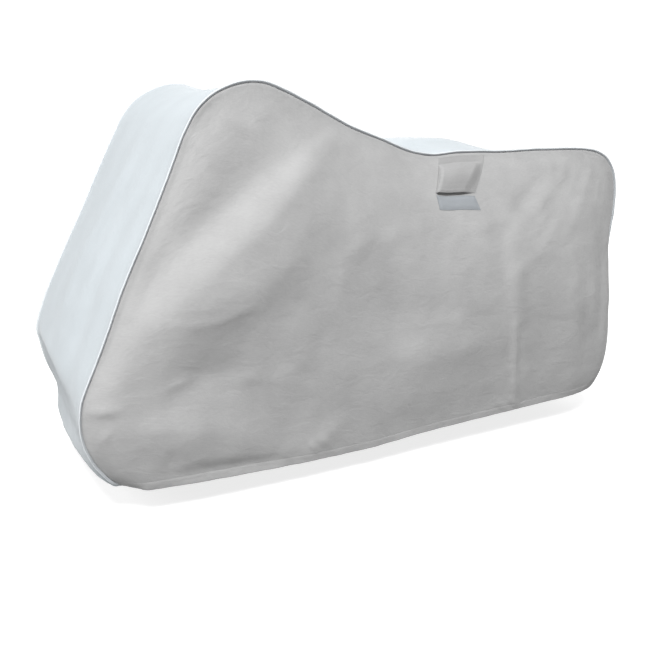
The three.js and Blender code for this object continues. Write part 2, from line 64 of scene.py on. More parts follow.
MM = 0.001
PEAK_LEVEL = 1195.0  # the frame's origin above the ground
BODY = "root"
SAMPLES_PER_SPAN = 40  # how finely a smooth line is measured between two of its points


class Side(Enum):
    """The two sides of the cover, with the sign of Y on each."""

    LEFT = -1
    RIGHT = 1

    @property
    def word(self) -> str:
        """The side's name as the nodes spell it."""
        return self.name.lower()


class Held(Enum):
    """How a sheet of cloth is held."""

    DRAPED = "draped"
    FOLDED = "folded"
    HUNG = "hung"
    LAID = "laid"


class Kind(Enum):
    """The kinds of cloth on the cover, each with a finish of its own."""

    SIDE = "side"
    CENTRE = "centre"
    TAPE = "tape"
    HOOD = "hood"
    LABEL = "label"


@dataclass(frozen=True)
class SeamRow:
    """One place on the left seam, and how the right seam and the centre panel lie there."""

    x: float
    level: float
    half: float
    far_back: float
    far_up: float
    crown: float
    full: float = 1.0


@dataclass(frozen=True)
class HemRow:
    """One place on a side panel's hem, with the right side's own level."""

    x: float
    half: float
    level: float
    far_level: float


@dataclass(frozen=True)
class Fold:
    """One listed crease of a cloth.

    path holds the places that it runs through, width is how far it reaches to the side that a
    walker along the path has on the left, edge how far on the right, and rise its height.
    """

    name: str
    path: tuple[tuple[float, float], ...]
    width: float
    edge: float
    rise: float


# x, level above the ground, half width, right seam further back, right seam higher, crown, full
SEAM_ROWS = tuple(
    SeamRow(*row)
    for row in (
        (-431, 95, 408, 0, 0, 58, 0.35),
        (-462, 123, 411, 26, 0, 49, 0.35),
        (-505, 191, 412, 47, 0, 12, 0.45),
        (-524, 259, 412, 42, 0, 4, 0.8),
        (-519, 344, 412, 20, 0, 5, 1),
        (-504, 384, 412, 0, 0, 12, 1),
        (-457, 485, 412, -14, 0, 18, 1),
        (-384, 657, 412, -5, 0, 20, 1),
        (-320, 788, 412, 0, 0, 18, 1),
        (-258, 921, 412, 3, 0, 14, 1),
        (-195, 1061, 412, 13, 2, 6, 1),
        (-160, 1116, 412, 13, 8, 0, 1),
        (-109, 1158, 410, 12, 21, -6, 1),
        (-34, 1187, 406, 18, 35, -12, 1),
        (33, 1191, 401, 25, 42, -14, 1),
        (99, 1171, 397, 28, 43, -12, 1),
        (177, 1140, 391, 22, 34, -4, 1),
        (328, 1074, 378, 8, 20, 10, 1),
        (446, 1037, 368, 0, 10, 20, 1),
        (558, 1001, 359, 0, 5, 36, 1),
        (655, 988, 356, 0, 3, 44, 1),
        (740, 995, 357, 0, 2, 52, 1),
        (850, 997, 360, 0, 2, 50, 1),
        (960, 997, 364, 0, 0, 25, 1),
        (1065, 1002, 371, 0, 0, -12, 1),
        (1176, 1004, 378, 0, 0, -22, 1),
        (1318, 1002, 386, 0, 0, -16, 1),
        (1380, 991, 388, 0, 0, -8, 1),
        (1425, 969, 388, 0, 0, 0, 1),
        (1458, 930, 389, 0, 0, 5, 1),
        (1476, 868, 390, 0, 0, 9, 1),
        (1477, 781, 392, 0, 0, 13, 1),
        (1459, 668, 396, 0, 0, 20, 1),
        (1452, 500, 402, 0, 0, 26, 1),
        (1458, 350, 404, 0, 0, 24, 1),
        (1456, 241, 404, 0, 0, 22, 1),
        (1436, 160, 402, 0, 0, 30, 0.8),
        (1410, 108, 398, 0, 0, 40, 0.6),
    )
)
FRONT_SHOULDER = 11
BACK_SHOULDER = 28

# x, half width, level on the left, level on the right
HEM_ROWS = tuple(
    HemRow(*row)
    for row in (
        (-404, 438, 92, 88),
        (-365, 458, 88, 86),
        (-274, 474, 86, 82),
        (2, 484, 79, 84),
        (340, 486, 76, 90),
        (552, 482, 86, 88),
        (808, 480, 93, 86),
        (1113, 480, 100, 92),
        (1262, 476, 104, 98),
        (1345, 464, 109, 106),
        (1392, 440, 111, 109),
    )
)

# How far a side panel stands out past its edges: share of the way from front to back, distance,
# and how high up the panel the distance is greatest, higher for a larger number
BELLY_ROWS = (
    (0, 0, 1.35),
    (0.05, 28, 1.35),
    (0.14, 50, 1.35),
    (0.3, 68, 1.35),
    (0.5, 77, 1.35),
    (0.8, 74, 1.25),
    (0.92, 62, 0.95),
    (0.97, 38, 0.75),
    (1, 0, 0.7),
)

# Creases of the left side panel, in the side view: x, level
LEFT_FOLDS = (
    Fold("main ridge", ((235, 1015), (25, 825), (-190, 655), (-390, 470)), 131, 62, 27),
    Fold("second ridge", ((95, 705), (-75, 615), (-235, 535)), 73, 68, 13),
    Fold("front belly", ((-460, 265), (-235, 240), (25, 150)), 56, 111, 15),
    Fold("gather ridge", ((245, 190), (130, 115)), 29, 24, 4),
    Fold("back belly", ((275, 300), (570, 345), (825, 365)), 80, 81, 16),
    Fold("low belly", ((350, 215), (580, 230), (780, 275)), 63, 66, 9),
    Fold("upright hollow", ((865, 875), (865, 650), (895, 410)), 39, 41, -3),
    Fold("upright crease", ((922, 440), (934, 290), (964, 120)), 17, 15, 9.5),
    Fold("upright step", ((905, 690), (918, 540), (930, 390)), 46, 30, 8),
    Fold("rear edge hollow", ((1365, 735), (1350, 505), (1355, 235)), 32, 42, -14),
    Fold("shoulder pull", ((1265, 945), (1095, 820), (970, 725)), 23, 21, -3),
    Fold("tail pull", ((1125, 785), (985, 650), (900, 575)), 35, 28, 6),
    Fold("rear pull", ((1315, 910), (1210, 775), (1095, 665)), 25, 27, 3),
    Fold("dip pull", ((490, 900), (330, 800), (210, 725)), 79, 87, 8),
    Fold("upper hollow", ((50, 1000), (-160, 840), (-310, 695), (-390, 585)), 50, 69, -21),
    Fold("ridge foot", ((275, 935), (140, 800), (-10, 675)), 61, 53, 5),
    Fold("deep hollow", ((-315, 410), (-200, 400), (-60, 410)), 54, 74, -11),
    Fold("front hem tuck", ((-325, 120), (-140, 115), (80, 95)), 24, 27, -9),
    Fold("back hollow", ((1090, 595), (1065, 385), (1050, 175)), 56, 48, -5),
    Fold("tail hollow", ((1090, 915), (990, 840), (905, 760)), 34, 28, -5),
    Fold("pull hollow", ((1180, 845), (1060, 735), (960, 630)), 26, 25, -5),
    Fold("rear hollow", ((1255, 590), (1275, 365), (1305, 175)), 44, 36, -12),
    Fold("middle hollow", ((220, 550), (385, 520), (560, 515)), 116, 115, -16),
    Fold("low hollow", ((200, 255), (375, 320), (530, 330)), 57, 49, -4),
)

# Narrow creases and puckers of the left side panel, some of them close to its edges: x, level
LEFT_CREASES = (
    Fold(
        "slope hollow", ((-479, 412), (-434, 508), (-325, 736), (-219, 950), (-128, 1123)),
        28, 30, -5,
    ),
    Fold("ridge crest", ((280, 1062), (172, 1005), (63, 917), (-20, 860)), 62, 27, 6),
    Fold("corner crease", ((-510, 325), (-472, 332), (-430, 332)), 16, 13, 6),
    Fold("corner pinch", ((-454, 287), (-473, 262), (-490, 232)), 10, 10, 3),
    Fold("hem pull", ((-309, 135), (-306, 170), (-300, 205)), 16, 30, -4),
    Fold("hem wave", ((-388, 96), (-372, 88), (-352, 96)), 14, 14, 4),
    Fold("shoulder pucker", ((1160, 985), (1120, 915)), 18, 18, 1.2),
    Fold("second pucker", ((1222, 980), (1168, 900)), 18, 18, 1.3),
    Fold("third pucker", ((1282, 970), (1215, 880)), 18, 18, 1.5),
    Fold("fourth pucker", ((1340, 950), (1270, 860)), 16, 16, 1.6),
    Fold("fifth pucker", ((1372, 900), (1322, 810)), 15, 15, 1.6),
    Fold("gather", ((122, 145), (164, 95)), 12, 12, 4),
    Fold("second gather", ((163, 150), (207, 104)), 12, 12, 3.5),
    Fold("rear gather", ((868, 149), (925, 104)), 12, 12, 3.5),
    Fold("second rear gather", ((923, 151), (981, 106)), 12, 12, 3),
    Fold("thin crease", ((-290, 553), (-165, 556), (-60, 590)), 14, 14, 2.5),
    Fold("low thin crease", ((-313, 379), (-278, 386), (-243, 397)), 12, 12, 2.5),
    Fold("level crease", ((985, 440), (1110, 415), (1230, 398)), 14, 12, -0.9),
    Fold("middle crease", ((235, 705), (290, 728), (360, 755)), 22, 22, 2),
    Fold("waist crease", ((380, 745), (450, 752), (560, 775)), 24, 20, 1.5),
    Fold("belly crease", ((425, 455), (600, 467), (740, 452)), 28, 22, 1.8),
    Fold("front crease", ((-172, 373), (-52, 376), (70, 345)), 22, 20, 2),
    Fold("vent pull", ((738, 753), (868, 773), (1003, 790)), 20, 20, 2),
    Fold("peak crease", ((-211, 1066), (-166, 1027), (-133, 962)), 18, 18, 2.5),
    Fold("second peak crease", ((-88, 1119), (-50, 1080), (15, 1067)), 18, 18, 2.5),
    Fold("rear edge roll", ((1350, 684), (1395, 480), (1370, 310)), 20, 14, 3),
)

# Creases of the right side panel, which the photograph does not show: x, level
RIGHT_FOLDS = (
    Fold("main ridge", ((250, 1060), (-60, 840), (-430, 560)), 68, 68, 20),
    Fold("lower valley", ((290, 860), (-20, 660), (-330, 460)), 88, 88, -17),
    Fold("lower ridge", ((-490, 310), (-200, 335), (120, 410)), 66, 66, 13),
    Fold("front hem tuck", ((-280, 140), (-120, 130), (30, 124)), 42, 42, -10),
    Fold("back belly", ((350, 470), (620, 500), (880, 440)), 98, 98, 14),
    Fold("upright crease", ((700, 420), (690, 280), (702, 105)), 30, 30, 9),
    Fold("hem tuck", ((250, 165), (400, 140), (550, 130)), 40, 40, -10),
    Fold("back hollow", ((1110, 560), (1090, 400), (1050, 210)), 85, 85, -15),
    Fold("shoulder pull", ((1290, 950), (1185, 810), (1040, 700)), 46, 46, 11),
    Fold("dip pull", ((640, 930), (520, 820), (330, 720)), 50, 50, -9),
)

# Creases of the centre panel: way along it from the front hem, place across it
CENTRE_FOLDS = (
    Fold("front streak", ((240, -60), (620, 60), (1080, -40)), 75, 75, 7),
    Fold("front hollow", ((250, -230), (600, -190), (950, -260)), 55, 55, -7),
    Fold("nose crease", ((330, 330), (300, 60), (270, -250)), 34, 34, 8),
    Fold("nose tuck", ((215, 280), (200, 0), (190, -280)), 40, 40, -7),
    Fold("peak sag", ((1290, -60), (1400, 40), (1560, -20)), 110, 110, -7),
    Fold("slope pull", ((1520, 290), (1750, 160), (2000, 130)), 60, 60, 8),
    Fold("slope hollow", ((1560, -60), (1760, -120), (1960, -250)), 70, 70, -9),
    Fold("dip edge left", ((1960, -150), (2200, -165), (2480, -140)), 55, 55, 8),
    Fold("dip edge right", ((1960, 150), (2200, 160), (2480, 135)), 55, 55, 8),
    Fold("tail sag", ((2560, -120), (2680, 30), (2830, 160)), 90, 90, -8),
    Fold("back ridge", ((3020, -170), (3320, -120), (3720, -210)), 58, 58, 9),
    Fold("back valley", ((3050, 60), (3400, 20), (3760, 90)), 70, 70, -10),
    Fold("back pull", ((2990, 300), (3220, 220), (3500, 240)), 48, 48, 8),
)


def smooth(share: np.ndarray) -> np.ndarray:
    """Ease a share from 0 to 1, level at both ends."""
    t = np.clip(share, 0.0, 1.0)
    return t * t * (3 - 2 * t)


def unit(vectors: np.ndarray) -> np.ndarray:
    """Vectors of length one along the last axis."""
    length = np.linalg.norm(vectors, axis=-1, keepdims=True)
    return vectors / np.maximum(length, 1e-9)


def through_rows(places: np.ndarray, values: np.ndarray, at: np.ndarray) -> np.ndarray:
    """Read a smooth curve through a table's rows.

    Args:
        places: the table's first column, rising.
        values: the column that is read.
        at: the places where it is read.

    Returns:
        The values there.
    """
    places = np.asarray(places, float)
    values = np.asarray(values, float)
    low = np.maximum(np.arange(len(places)) - 1, 0)
    high = np.minimum(np.arange(len(places)) + 1, len(places) - 1)
    slopes = (values[high] - values[low]) / (places[high] - places[low])
    k = np.clip(np.searchsorted(places, at, side="left") - 1, 0, len(places) - 2)
    span = places[k + 1] - places[k]
    t = (at - places[k]) / span
    rise = values[k + 1] - values[k]
    enter = slopes[k] * span
    leave = slopes[k + 1] * span
    return values[k] + t * (
        enter + t * (3 * rise - 2 * enter - leave + t * (enter + leave - 2 * rise))
    )


class SmoothLine:
    """A smooth line through points, spaced by the same rule as the solids' seams."""

    def __init__(self, points: np.ndarray) -> None:
        """Keep the points, with one more past each end.

        Args:
            points: the places that the line runs through.
        """
        p = np.asarray(points, float)
        self.padded = np.vstack([2 * p[0] - p[1], p, 2 * p[-1] - p[-2]])
        self.spans = len(p) - 1
        self.steps = self.spans * SAMPLES_PER_SPAN
        samples = self.at(np.linspace(0, 1, self.steps + 1))
        jumps = np.linalg.norm(np.diff(samples, axis=0), axis=1)
        self.lengths = np.concatenate([[0.0], np.cumsum(jumps)])

    @property
    def length(self) -> float:
        """The whole length of the line."""
        return float(self.lengths[-1])

    def at(self, t: np.ndarray) -> np.ndarray:
        """Places on the line.

        Args:
            t: parameters from 0 to 1, of any shape.

        Returns:
            The places, with a last axis for their coordinates.
        """
        p = np.asarray(t, float) * self.spans
        k = np.clip(np.floor(p).astype(int), 0, self.spans - 1)
        w = (p - k)[..., None]
        p0, p1, p2, p3 = (self.padded[k + n] for n in range(4))
        d0, d1, d2 = (
            np.sqrt(np.linalg.norm(b - a, axis=-1, keepdims=True))
            for a, b in ((p0, p1), (p1, p2), (p2, p3))
        )
        t1 = ((p1 - p0) / d0 - (p2 - p0) / (d0 + d1) + (p2 - p1) / d1) * d1
        t2 = ((p2 - p1) / d1 - (p3 - p1) / (d1 + d2) + (p3 - p2) / d2) * d1
        second = -3 * p1 + 3 * p2 - 2 * t1 - t2
        third = 2 * p1 - 2 * p2 + t1 + t2
        return p1 + w * (t1 + w * (second + w * third))

    def parameter(self, length: np.ndarray) -> np.ndarray:
        """The parameters at lengths along the line."""
        return np.interp(length, self.lengths, np.linspace(0, 1, self.steps + 1))

    def along(self, t: np.ndarray) -> np.ndarray:
        """Unit directions of the line at parameters."""
        ahead = self.at(np.minimum(np.asarray(t) + 1e-4, 1))
        return unit(ahead - self.at(np.maximum(np.asarray(t) - 1e-4, 0)))


@dataclass
class SeamFrames:
    """Places along a seam: where, which way it runs, and how its tape stands there."""

    t: np.ndarray
    at: np.ndarray
    along: np.ndarray
    stand: np.ndarray
    across: np.ndarray


@dataclass
class Seams:
    """Both seams of the cover, read at the same lengths so that the cloths meet point by point."""

    tape_lean: float = math.radians(35)
    cloth_edge: float = 1.8
    lines: dict[Side, SmoothLine] = field(init=False)

    def __post_init__(self) -> None:
        """Draw the two lines through the table."""
        left = [(r.x, -r.half, r.level - PEAK_LEVEL) for r in SEAM_ROWS]
        right = [
            (r.x + r.far_back, r.half, r.level + r.far_up - PEAK_LEVEL)
            for r in SEAM_ROWS
        ]
        self.lines = {Side.LEFT: SmoothLine(left), Side.RIGHT: SmoothLine(right)}

    @property
    def length(self) -> float:
        """The length of the left seam, which both are counted by."""
        return self.lines[Side.LEFT].length

    def length_at_row(self, index: int) -> float:
        """The length along the seam at a row of the table."""
        return float(self.lines[Side.LEFT].lengths[index * SAMPLES_PER_SPAN])

    def length_at_x(self, x: float) -> float:
        """The length along the seam at a place on its top.

        Args:
            x: the place, between the two shoulders.

        Returns:
            The length in millimetres.
        """
        rows = SEAM_ROWS[FRONT_SHOULDER : BACK_SHOULDER + 1]
        lengths = [
            self.length_at_row(k) for k in range(FRONT_SHOULDER, BACK_SHOULDER + 1)
        ]
        return float(np.interp(x, [r.x for r in rows], lengths))

    def frames(self, side: Side, lengths: np.ndarray) -> SeamFrames:
        """The seam's frames at lengths along the left one.

        Args:
            side: which seam.
            lengths: lengths along the left seam, in millimetres.

        Returns:
            The frames, one for each length.
        """
        t = self.lines[Side.LEFT].parameter(lengths)
        along = self.lines[side].along(t)
        outward = np.zeros_like(along)
        outward[:, 1] = side.value
        outward = unit(
            outward - np.sum(outward * along, axis=1, keepdims=True) * along
        )
        up = np.cross(along, outward) * side.value
        lean = self.tape_lean
        return SeamFrames(
            t=t,
            at=self.lines[side].at(t),
            along=along,
            stand=up * math.cos(lean) + outward * math.sin(lean),
            across=up * math.sin(lean) - outward * math.cos(lean),
        )

    def centre_edge(self, frames: SeamFrames) -> np.ndarray:
        """Where the centre panel meets the tape."""
        return frames.at + frames.across * self.cloth_edge

    def side_edge(self, frames: SeamFrames) -> np.ndarray:
        """Where a side panel meets the tape."""
        return frames.at - frames.across * self.cloth_edge


def grid_normals(grid: np.ndarray, sign: float) -> np.ndarray:
    """Unit normals of a grid of points.

    Args:
        grid: the points, row by row.
        sign: 1 or -1, whichever turns them to the outside.

    Returns:
        The normals, one for each point.
    """
    a = np.gradient(grid, axis=0)
    b = np.gradient(grid, axis=1)
    return unit(np.cross(a, b)) * sign


@dataclass(frozen=True)
class SeamRoll:
    """How a cloth lies beside its bound seam: a soft roll, and its edge turned up into the tape."""

    puff: float
    puff_reach: float
    curl_rise: float = 3.0
    curl_reach: float = 15.0
    draw: float = 1.25
    draw_reach: float = 5.0

    def swell(self, away: np.ndarray) -> np.ndarray:
        """Heights of the roll at distances from the seam."""
        share = away / self.puff_reach
        return self.puff * share * np.exp(1 - share)

    def turn(self, away: np.ndarray) -> tuple[np.ndarray, np.ndarray]:
        """How far the edge is turned up and drawn in, as columns for points.

        Args:
            away: distances from the seam, in millimetres.

        Returns:
            The way up along the tape, and the way in towards it.
        """
        curl = np.clip(1 - away / self.curl_reach, 0, 1) ** 2 * self.curl_rise
        inward = np.clip(1 - away / self.draw_reach, 0, 1) ** 2 * self.draw
        return curl[..., None], inward[..., None]


PATH_STEPS = 12  # straight steps along a crease's path
FADE_WIDTHS = 2.6  # a crease is nothing further away than this many of its widths
END_SHARE = 0.25  # share of a crease's rise that is left at its ends


def fold_heights(folds: tuple[Fold, ...], a: np.ndarray, b: np.ndarray) -> np.ndarray:
    """Add up the heights of listed creases.

    Args:
        folds: the creases.
        a: first place of each point, as the folds' paths count it.
        b: second place of each point.

    Returns:
        The height at each point, in millimetres.
    """
    total = np.zeros_like(a)
    for fold in folds:
        line = SmoothLine(np.array(fold.path, float)).at(np.linspace(0, 1, PATH_STEPS + 1))
        reach = FADE_WIDTHS * max(fold.width, fold.edge)
        near = (
            (a > line[:, 0].min() - reach)
            & (a < line[:, 0].max() + reach)
            & (b > line[:, 1].min() - reach)
            & (b < line[:, 1].max() + reach)
        )
        pa, pb = a[near], b[near]
        best = np.full(pa.shape, np.inf)
        share = np.zeros(pa.shape)
        turn = np.zeros(pa.shape)
        for k in range(PATH_STEPS):
            dx, dy = line[k + 1] - line[k]
            t = ((pa - line[k, 0]) * dx + (pb - line[k, 1]) * dy) / (dx * dx + dy * dy)
            t = np.clip(t, 0, 1)
            ox = pa - line[k, 0] - t * dx
            oy = pb - line[k, 1] - t * dy
            away = np.hypot(ox, oy)
            closer = away < best
            best = np.where(closer, away, best)
            share = np.where(closer, (k + t) / PATH_STEPS, share)
            beside = (dx * oy - dy * ox) / np.maximum(math.hypot(dx, dy) * away, 1e-6)
            turn = np.where(closer, beside, turn)
        width = (fold.width + fold.edge) / 2 + (fold.width - fold.edge) / 2 * turn
        ends = END_SHARE + (1 - END_SHARE) * np.sin(np.pi * share)
        total[near] += fold.rise * ends * np.exp(-((best / width) ** 2))
    return total


@dataclass(frozen=True)
class Ripple:
    """Small gathers that a sewn edge throws into the cloth beside it."""

    seed: int
    waves: tuple[float, ...] = (31.0, 47.0, 73.0, 118.0)
    height: float = 1.0
    reach: float = 45.0

    def at(self, along: np.ndarray, away: np.ndarray) -> np.ndarray:
        """Heights of the gathers.

        Args:
            along: length along the edge, in millimetres.
            away: distance from the edge.

        Returns:
            The heights, in millimetres.
        """
        rng = np.random.default_rng(self.seed)
        total = np.zeros_like(along)
        for wave in self.waves:
            phase, drift, swell = rng.uniform(0, 2 * math.pi, 3)
            strength = 0.55 + 0.45 * np.sin(along / (wave * 4.7) + swell)
            lean = np.sin(along / (wave * 6.1) + drift) * 0.4 * away
            crest = np.sin(2 * math.pi * (along + lean) / wave + phase)
            fade = np.exp(-away / (self.reach * (0.5 + wave / 90)))
            total += strength * crest * fade * (wave / 60)
        return self.height * total / len(self.waves)


class CalmNoise:
    """Soft seeded unevenness over a plane, as cloth has between its creases."""

    size = 128

    def __init__(self, seed: int, cell: tuple[float, float], turn: float) -> None:
        """Lay a lattice of random heights.

        Args:
            seed: picks the pattern.
            cell: the lattice's pitch along and across, in millimetres.
            turn: how far the lattice is turned, in radians.
        """
        self.values = np.random.default_rng(seed).uniform(-1, 1, (self.size, self.size))
        self.cell = cell
        self.turn = turn

    def at(self, a: np.ndarray, b: np.ndarray) -> np.ndarray:
        """Read the pattern.

        Args:
            a: first place of each point on the plane.
            b: second place of each point.

        Returns:
            Heights from -1 to 1.
        """
        c, s = math.cos(self.turn), math.sin(self.turn)
        p = (a * c + b * s) / self.cell[0] + self.size // 2
        q = (b * c - a * s) / self.cell[1] + self.size // 2
        i, j = np.floor(p).astype(int), np.floor(q).astype(int)
        fp, fq = smooth(p - i), smooth(q - j)
        i, j = i % (self.size - 1), j % (self.size - 1)
        v = self.values
        low = v[i, j] * (1 - fp) + v[i + 1, j] * fp
        high = v[i, j + 1] * (1 - fp) + v[i + 1, j + 1] * fp
        return low * (1 - fq) + high * fq


def spaced(
    total: float, start: tuple[float, ...], end: tuple[float, ...], step: float
) -> np.ndarray:
    """Shares along a line that is finer near its ends.

    Args:
        total: the line's length, in millimetres.
        start: distances from the start, rising from 0.
        end: distances from the end, rising from 0.
        step: the pitch between.

    Returns:
        Shares from 0 to 1.
    """
    count = max(int(round((total - start[-1] - end[-1]) / step)), 1)
    middle = np.linspace(start[-1], total - end[-1], count + 1)
    return np.concatenate([start[:-1], middle, [total - d for d in reversed(end[:-1])]]) / total


def lay_mesh(
    name: str, points: np.ndarray, faces: list[list[int]], places: np.ndarray
) -> bpy.types.Object:
    """Make a mesh object with its flat places as a UV map.

    Args:
        name: the object's name.
        points: its points, in millimetres.
        faces: the points of each face.
        places: each point's flat place, in millimetres.

    Returns:
        The object, at the origin.
    """
    mesh = bpy.data.meshes.new(name)
    mesh.from_pydata((points.reshape(-1, 3) * MM).tolist(), [], faces)
    layer = mesh.uv_layers.new(name="flat")
    corner = np.empty(len(mesh.loops), np.int32)
    mesh.loops.foreach_get("vertex_index", corner)
    layer.data.foreach_set("uv", (places.reshape(-1, 2)[corner] * MM).ravel())
    mesh.update()
    piece = bpy.data.objects.new(name, mesh)
    bpy.context.scene.collection.objects.link(piece)
    return piece


def declare(
    piece: bpy.types.Object,
    node: str,
) -> bpy.types.Object:
    """Hang a sheet on the cover's body and hide the solid that it replaces.

    Args:
        piece: the sheet.
        node: the solid that it replaces.

    Returns:
        The sheet.
    """
    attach(piece, BODY)
    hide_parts(node)
    return piece


@dataclass
class GridCloth:
    """A cloth laid as a grid of points, which becomes a closed sheet of its own thickness."""

    name: str
    points: np.ndarray
    places: np.ndarray
    sign: float
    thickness: float = 1.1

    def build(self) -> bpy.types.Object:
        """Make the sheet's mesh, give it its thickness and its flat places as a UV map.

        Returns:
            The sheet, at the origin, smooth.
        """
        rows, columns = self.points.shape[:2]
        index = np.arange(rows * columns).reshape(rows, columns)
        a, b = index[:-1, :-1], index[1:, :-1]
        c, d = index[1:, 1:], index[:-1, 1:]
        order = (a, b, c, d) if self.sign > 0 else (a, d, c, b)
        faces = np.stack(order, axis=-1).reshape(-1, 4).tolist()
        piece = lay_mesh(self.name, self.points, faces, self.places)
        shell = piece.modifiers.new("thickness", "SOLIDIFY")
        shell.thickness = self.thickness * MM
        shell.offset = 0
        apply_modifiers(piece)
        piece.data.shade_smooth()
        return piece


def apply_modifiers(piece: bpy.types.Object) -> None:
    """Apply every modifier of a piece.

    Args:
        piece: the mesh object.
    """
    bpy.ops.object.select_all(action="DESELECT")
    piece.select_set(True)
    bpy.context.view_layer.objects.active = piece
    for modifier in list(piece.modifiers):
        bpy.ops.object.modifier_apply(modifier=modifier.name)


@dataclass
class Hem:
    """A turned hem: a channel at a cloth's edge, closed by one or more rows of stitches."""

    band: float = 30.0
    bulge: float = 0.9
    fold_radius: float = 1.5
    depth: float = 1.0
    stitch_rows: tuple[float, ...] = (29.0,)
    stitch_pull: float = 0.4
    stitch_reach: float = 1.8
    turned_steps: tuple[float, ...] = (1.5, 1.5, 1.5, 1.5, 1.5, 4, 6, 6, 6, 6)
    turned_heights: tuple[float, ...] = (24, 18, 12, 6, 2)
    fold_angles: tuple[float, ...] = (150, 120, 90, 60, 30)

    def relief(self, up: np.ndarray) -> np.ndarray:
        """The channel's and its stitches' relief.

        Args:
            up: distances up from the edge, in millimetres.

        Returns:
            How far the cloth stands out there.
        """
        inside = np.clip(up / self.band, 0, 1)
        height = self.bulge * np.sqrt(np.clip(1 - inside**4, 0, 1)) * (up < self.band)
        for row in self.stitch_rows:
            height -= self.stitch_pull * np.exp(-(((up - row) / self.stitch_reach) ** 2))
        return height

    def turned_places(self) -> np.ndarray:
        """Flat places of the turned cloth's rows, counted below the edge, rising."""
        return -np.cumsum(self.turned_steps)[::-1]

    def turned(
        self, edge: np.ndarray, out: np.ndarray, up: np.ndarray, share: np.ndarray | float = 1.0
    ) -> np.ndarray:
        """The cloth that is turned under the edge.

        Args:
            edge: the lowest points of the outer cloth.
            out: unit directions out of the cloth there.
            up: unit directions up the cloth there.
            share: how much of the fold's radius is used, from 0 to 1.

        Returns:
            Rows of points from the inner end of the turned cloth to just under the edge.
        """
        r = self.fold_radius * share
        rows = [edge - out * 2 * r + up * h * self.depth for h in self.turned_heights]
        for angle in self.fold_angles:
            a = math.radians(angle)
            rows.append(edge - out * r + out * r * math.cos(a) - up * r * math.sin(a))
        return np.stack(rows)


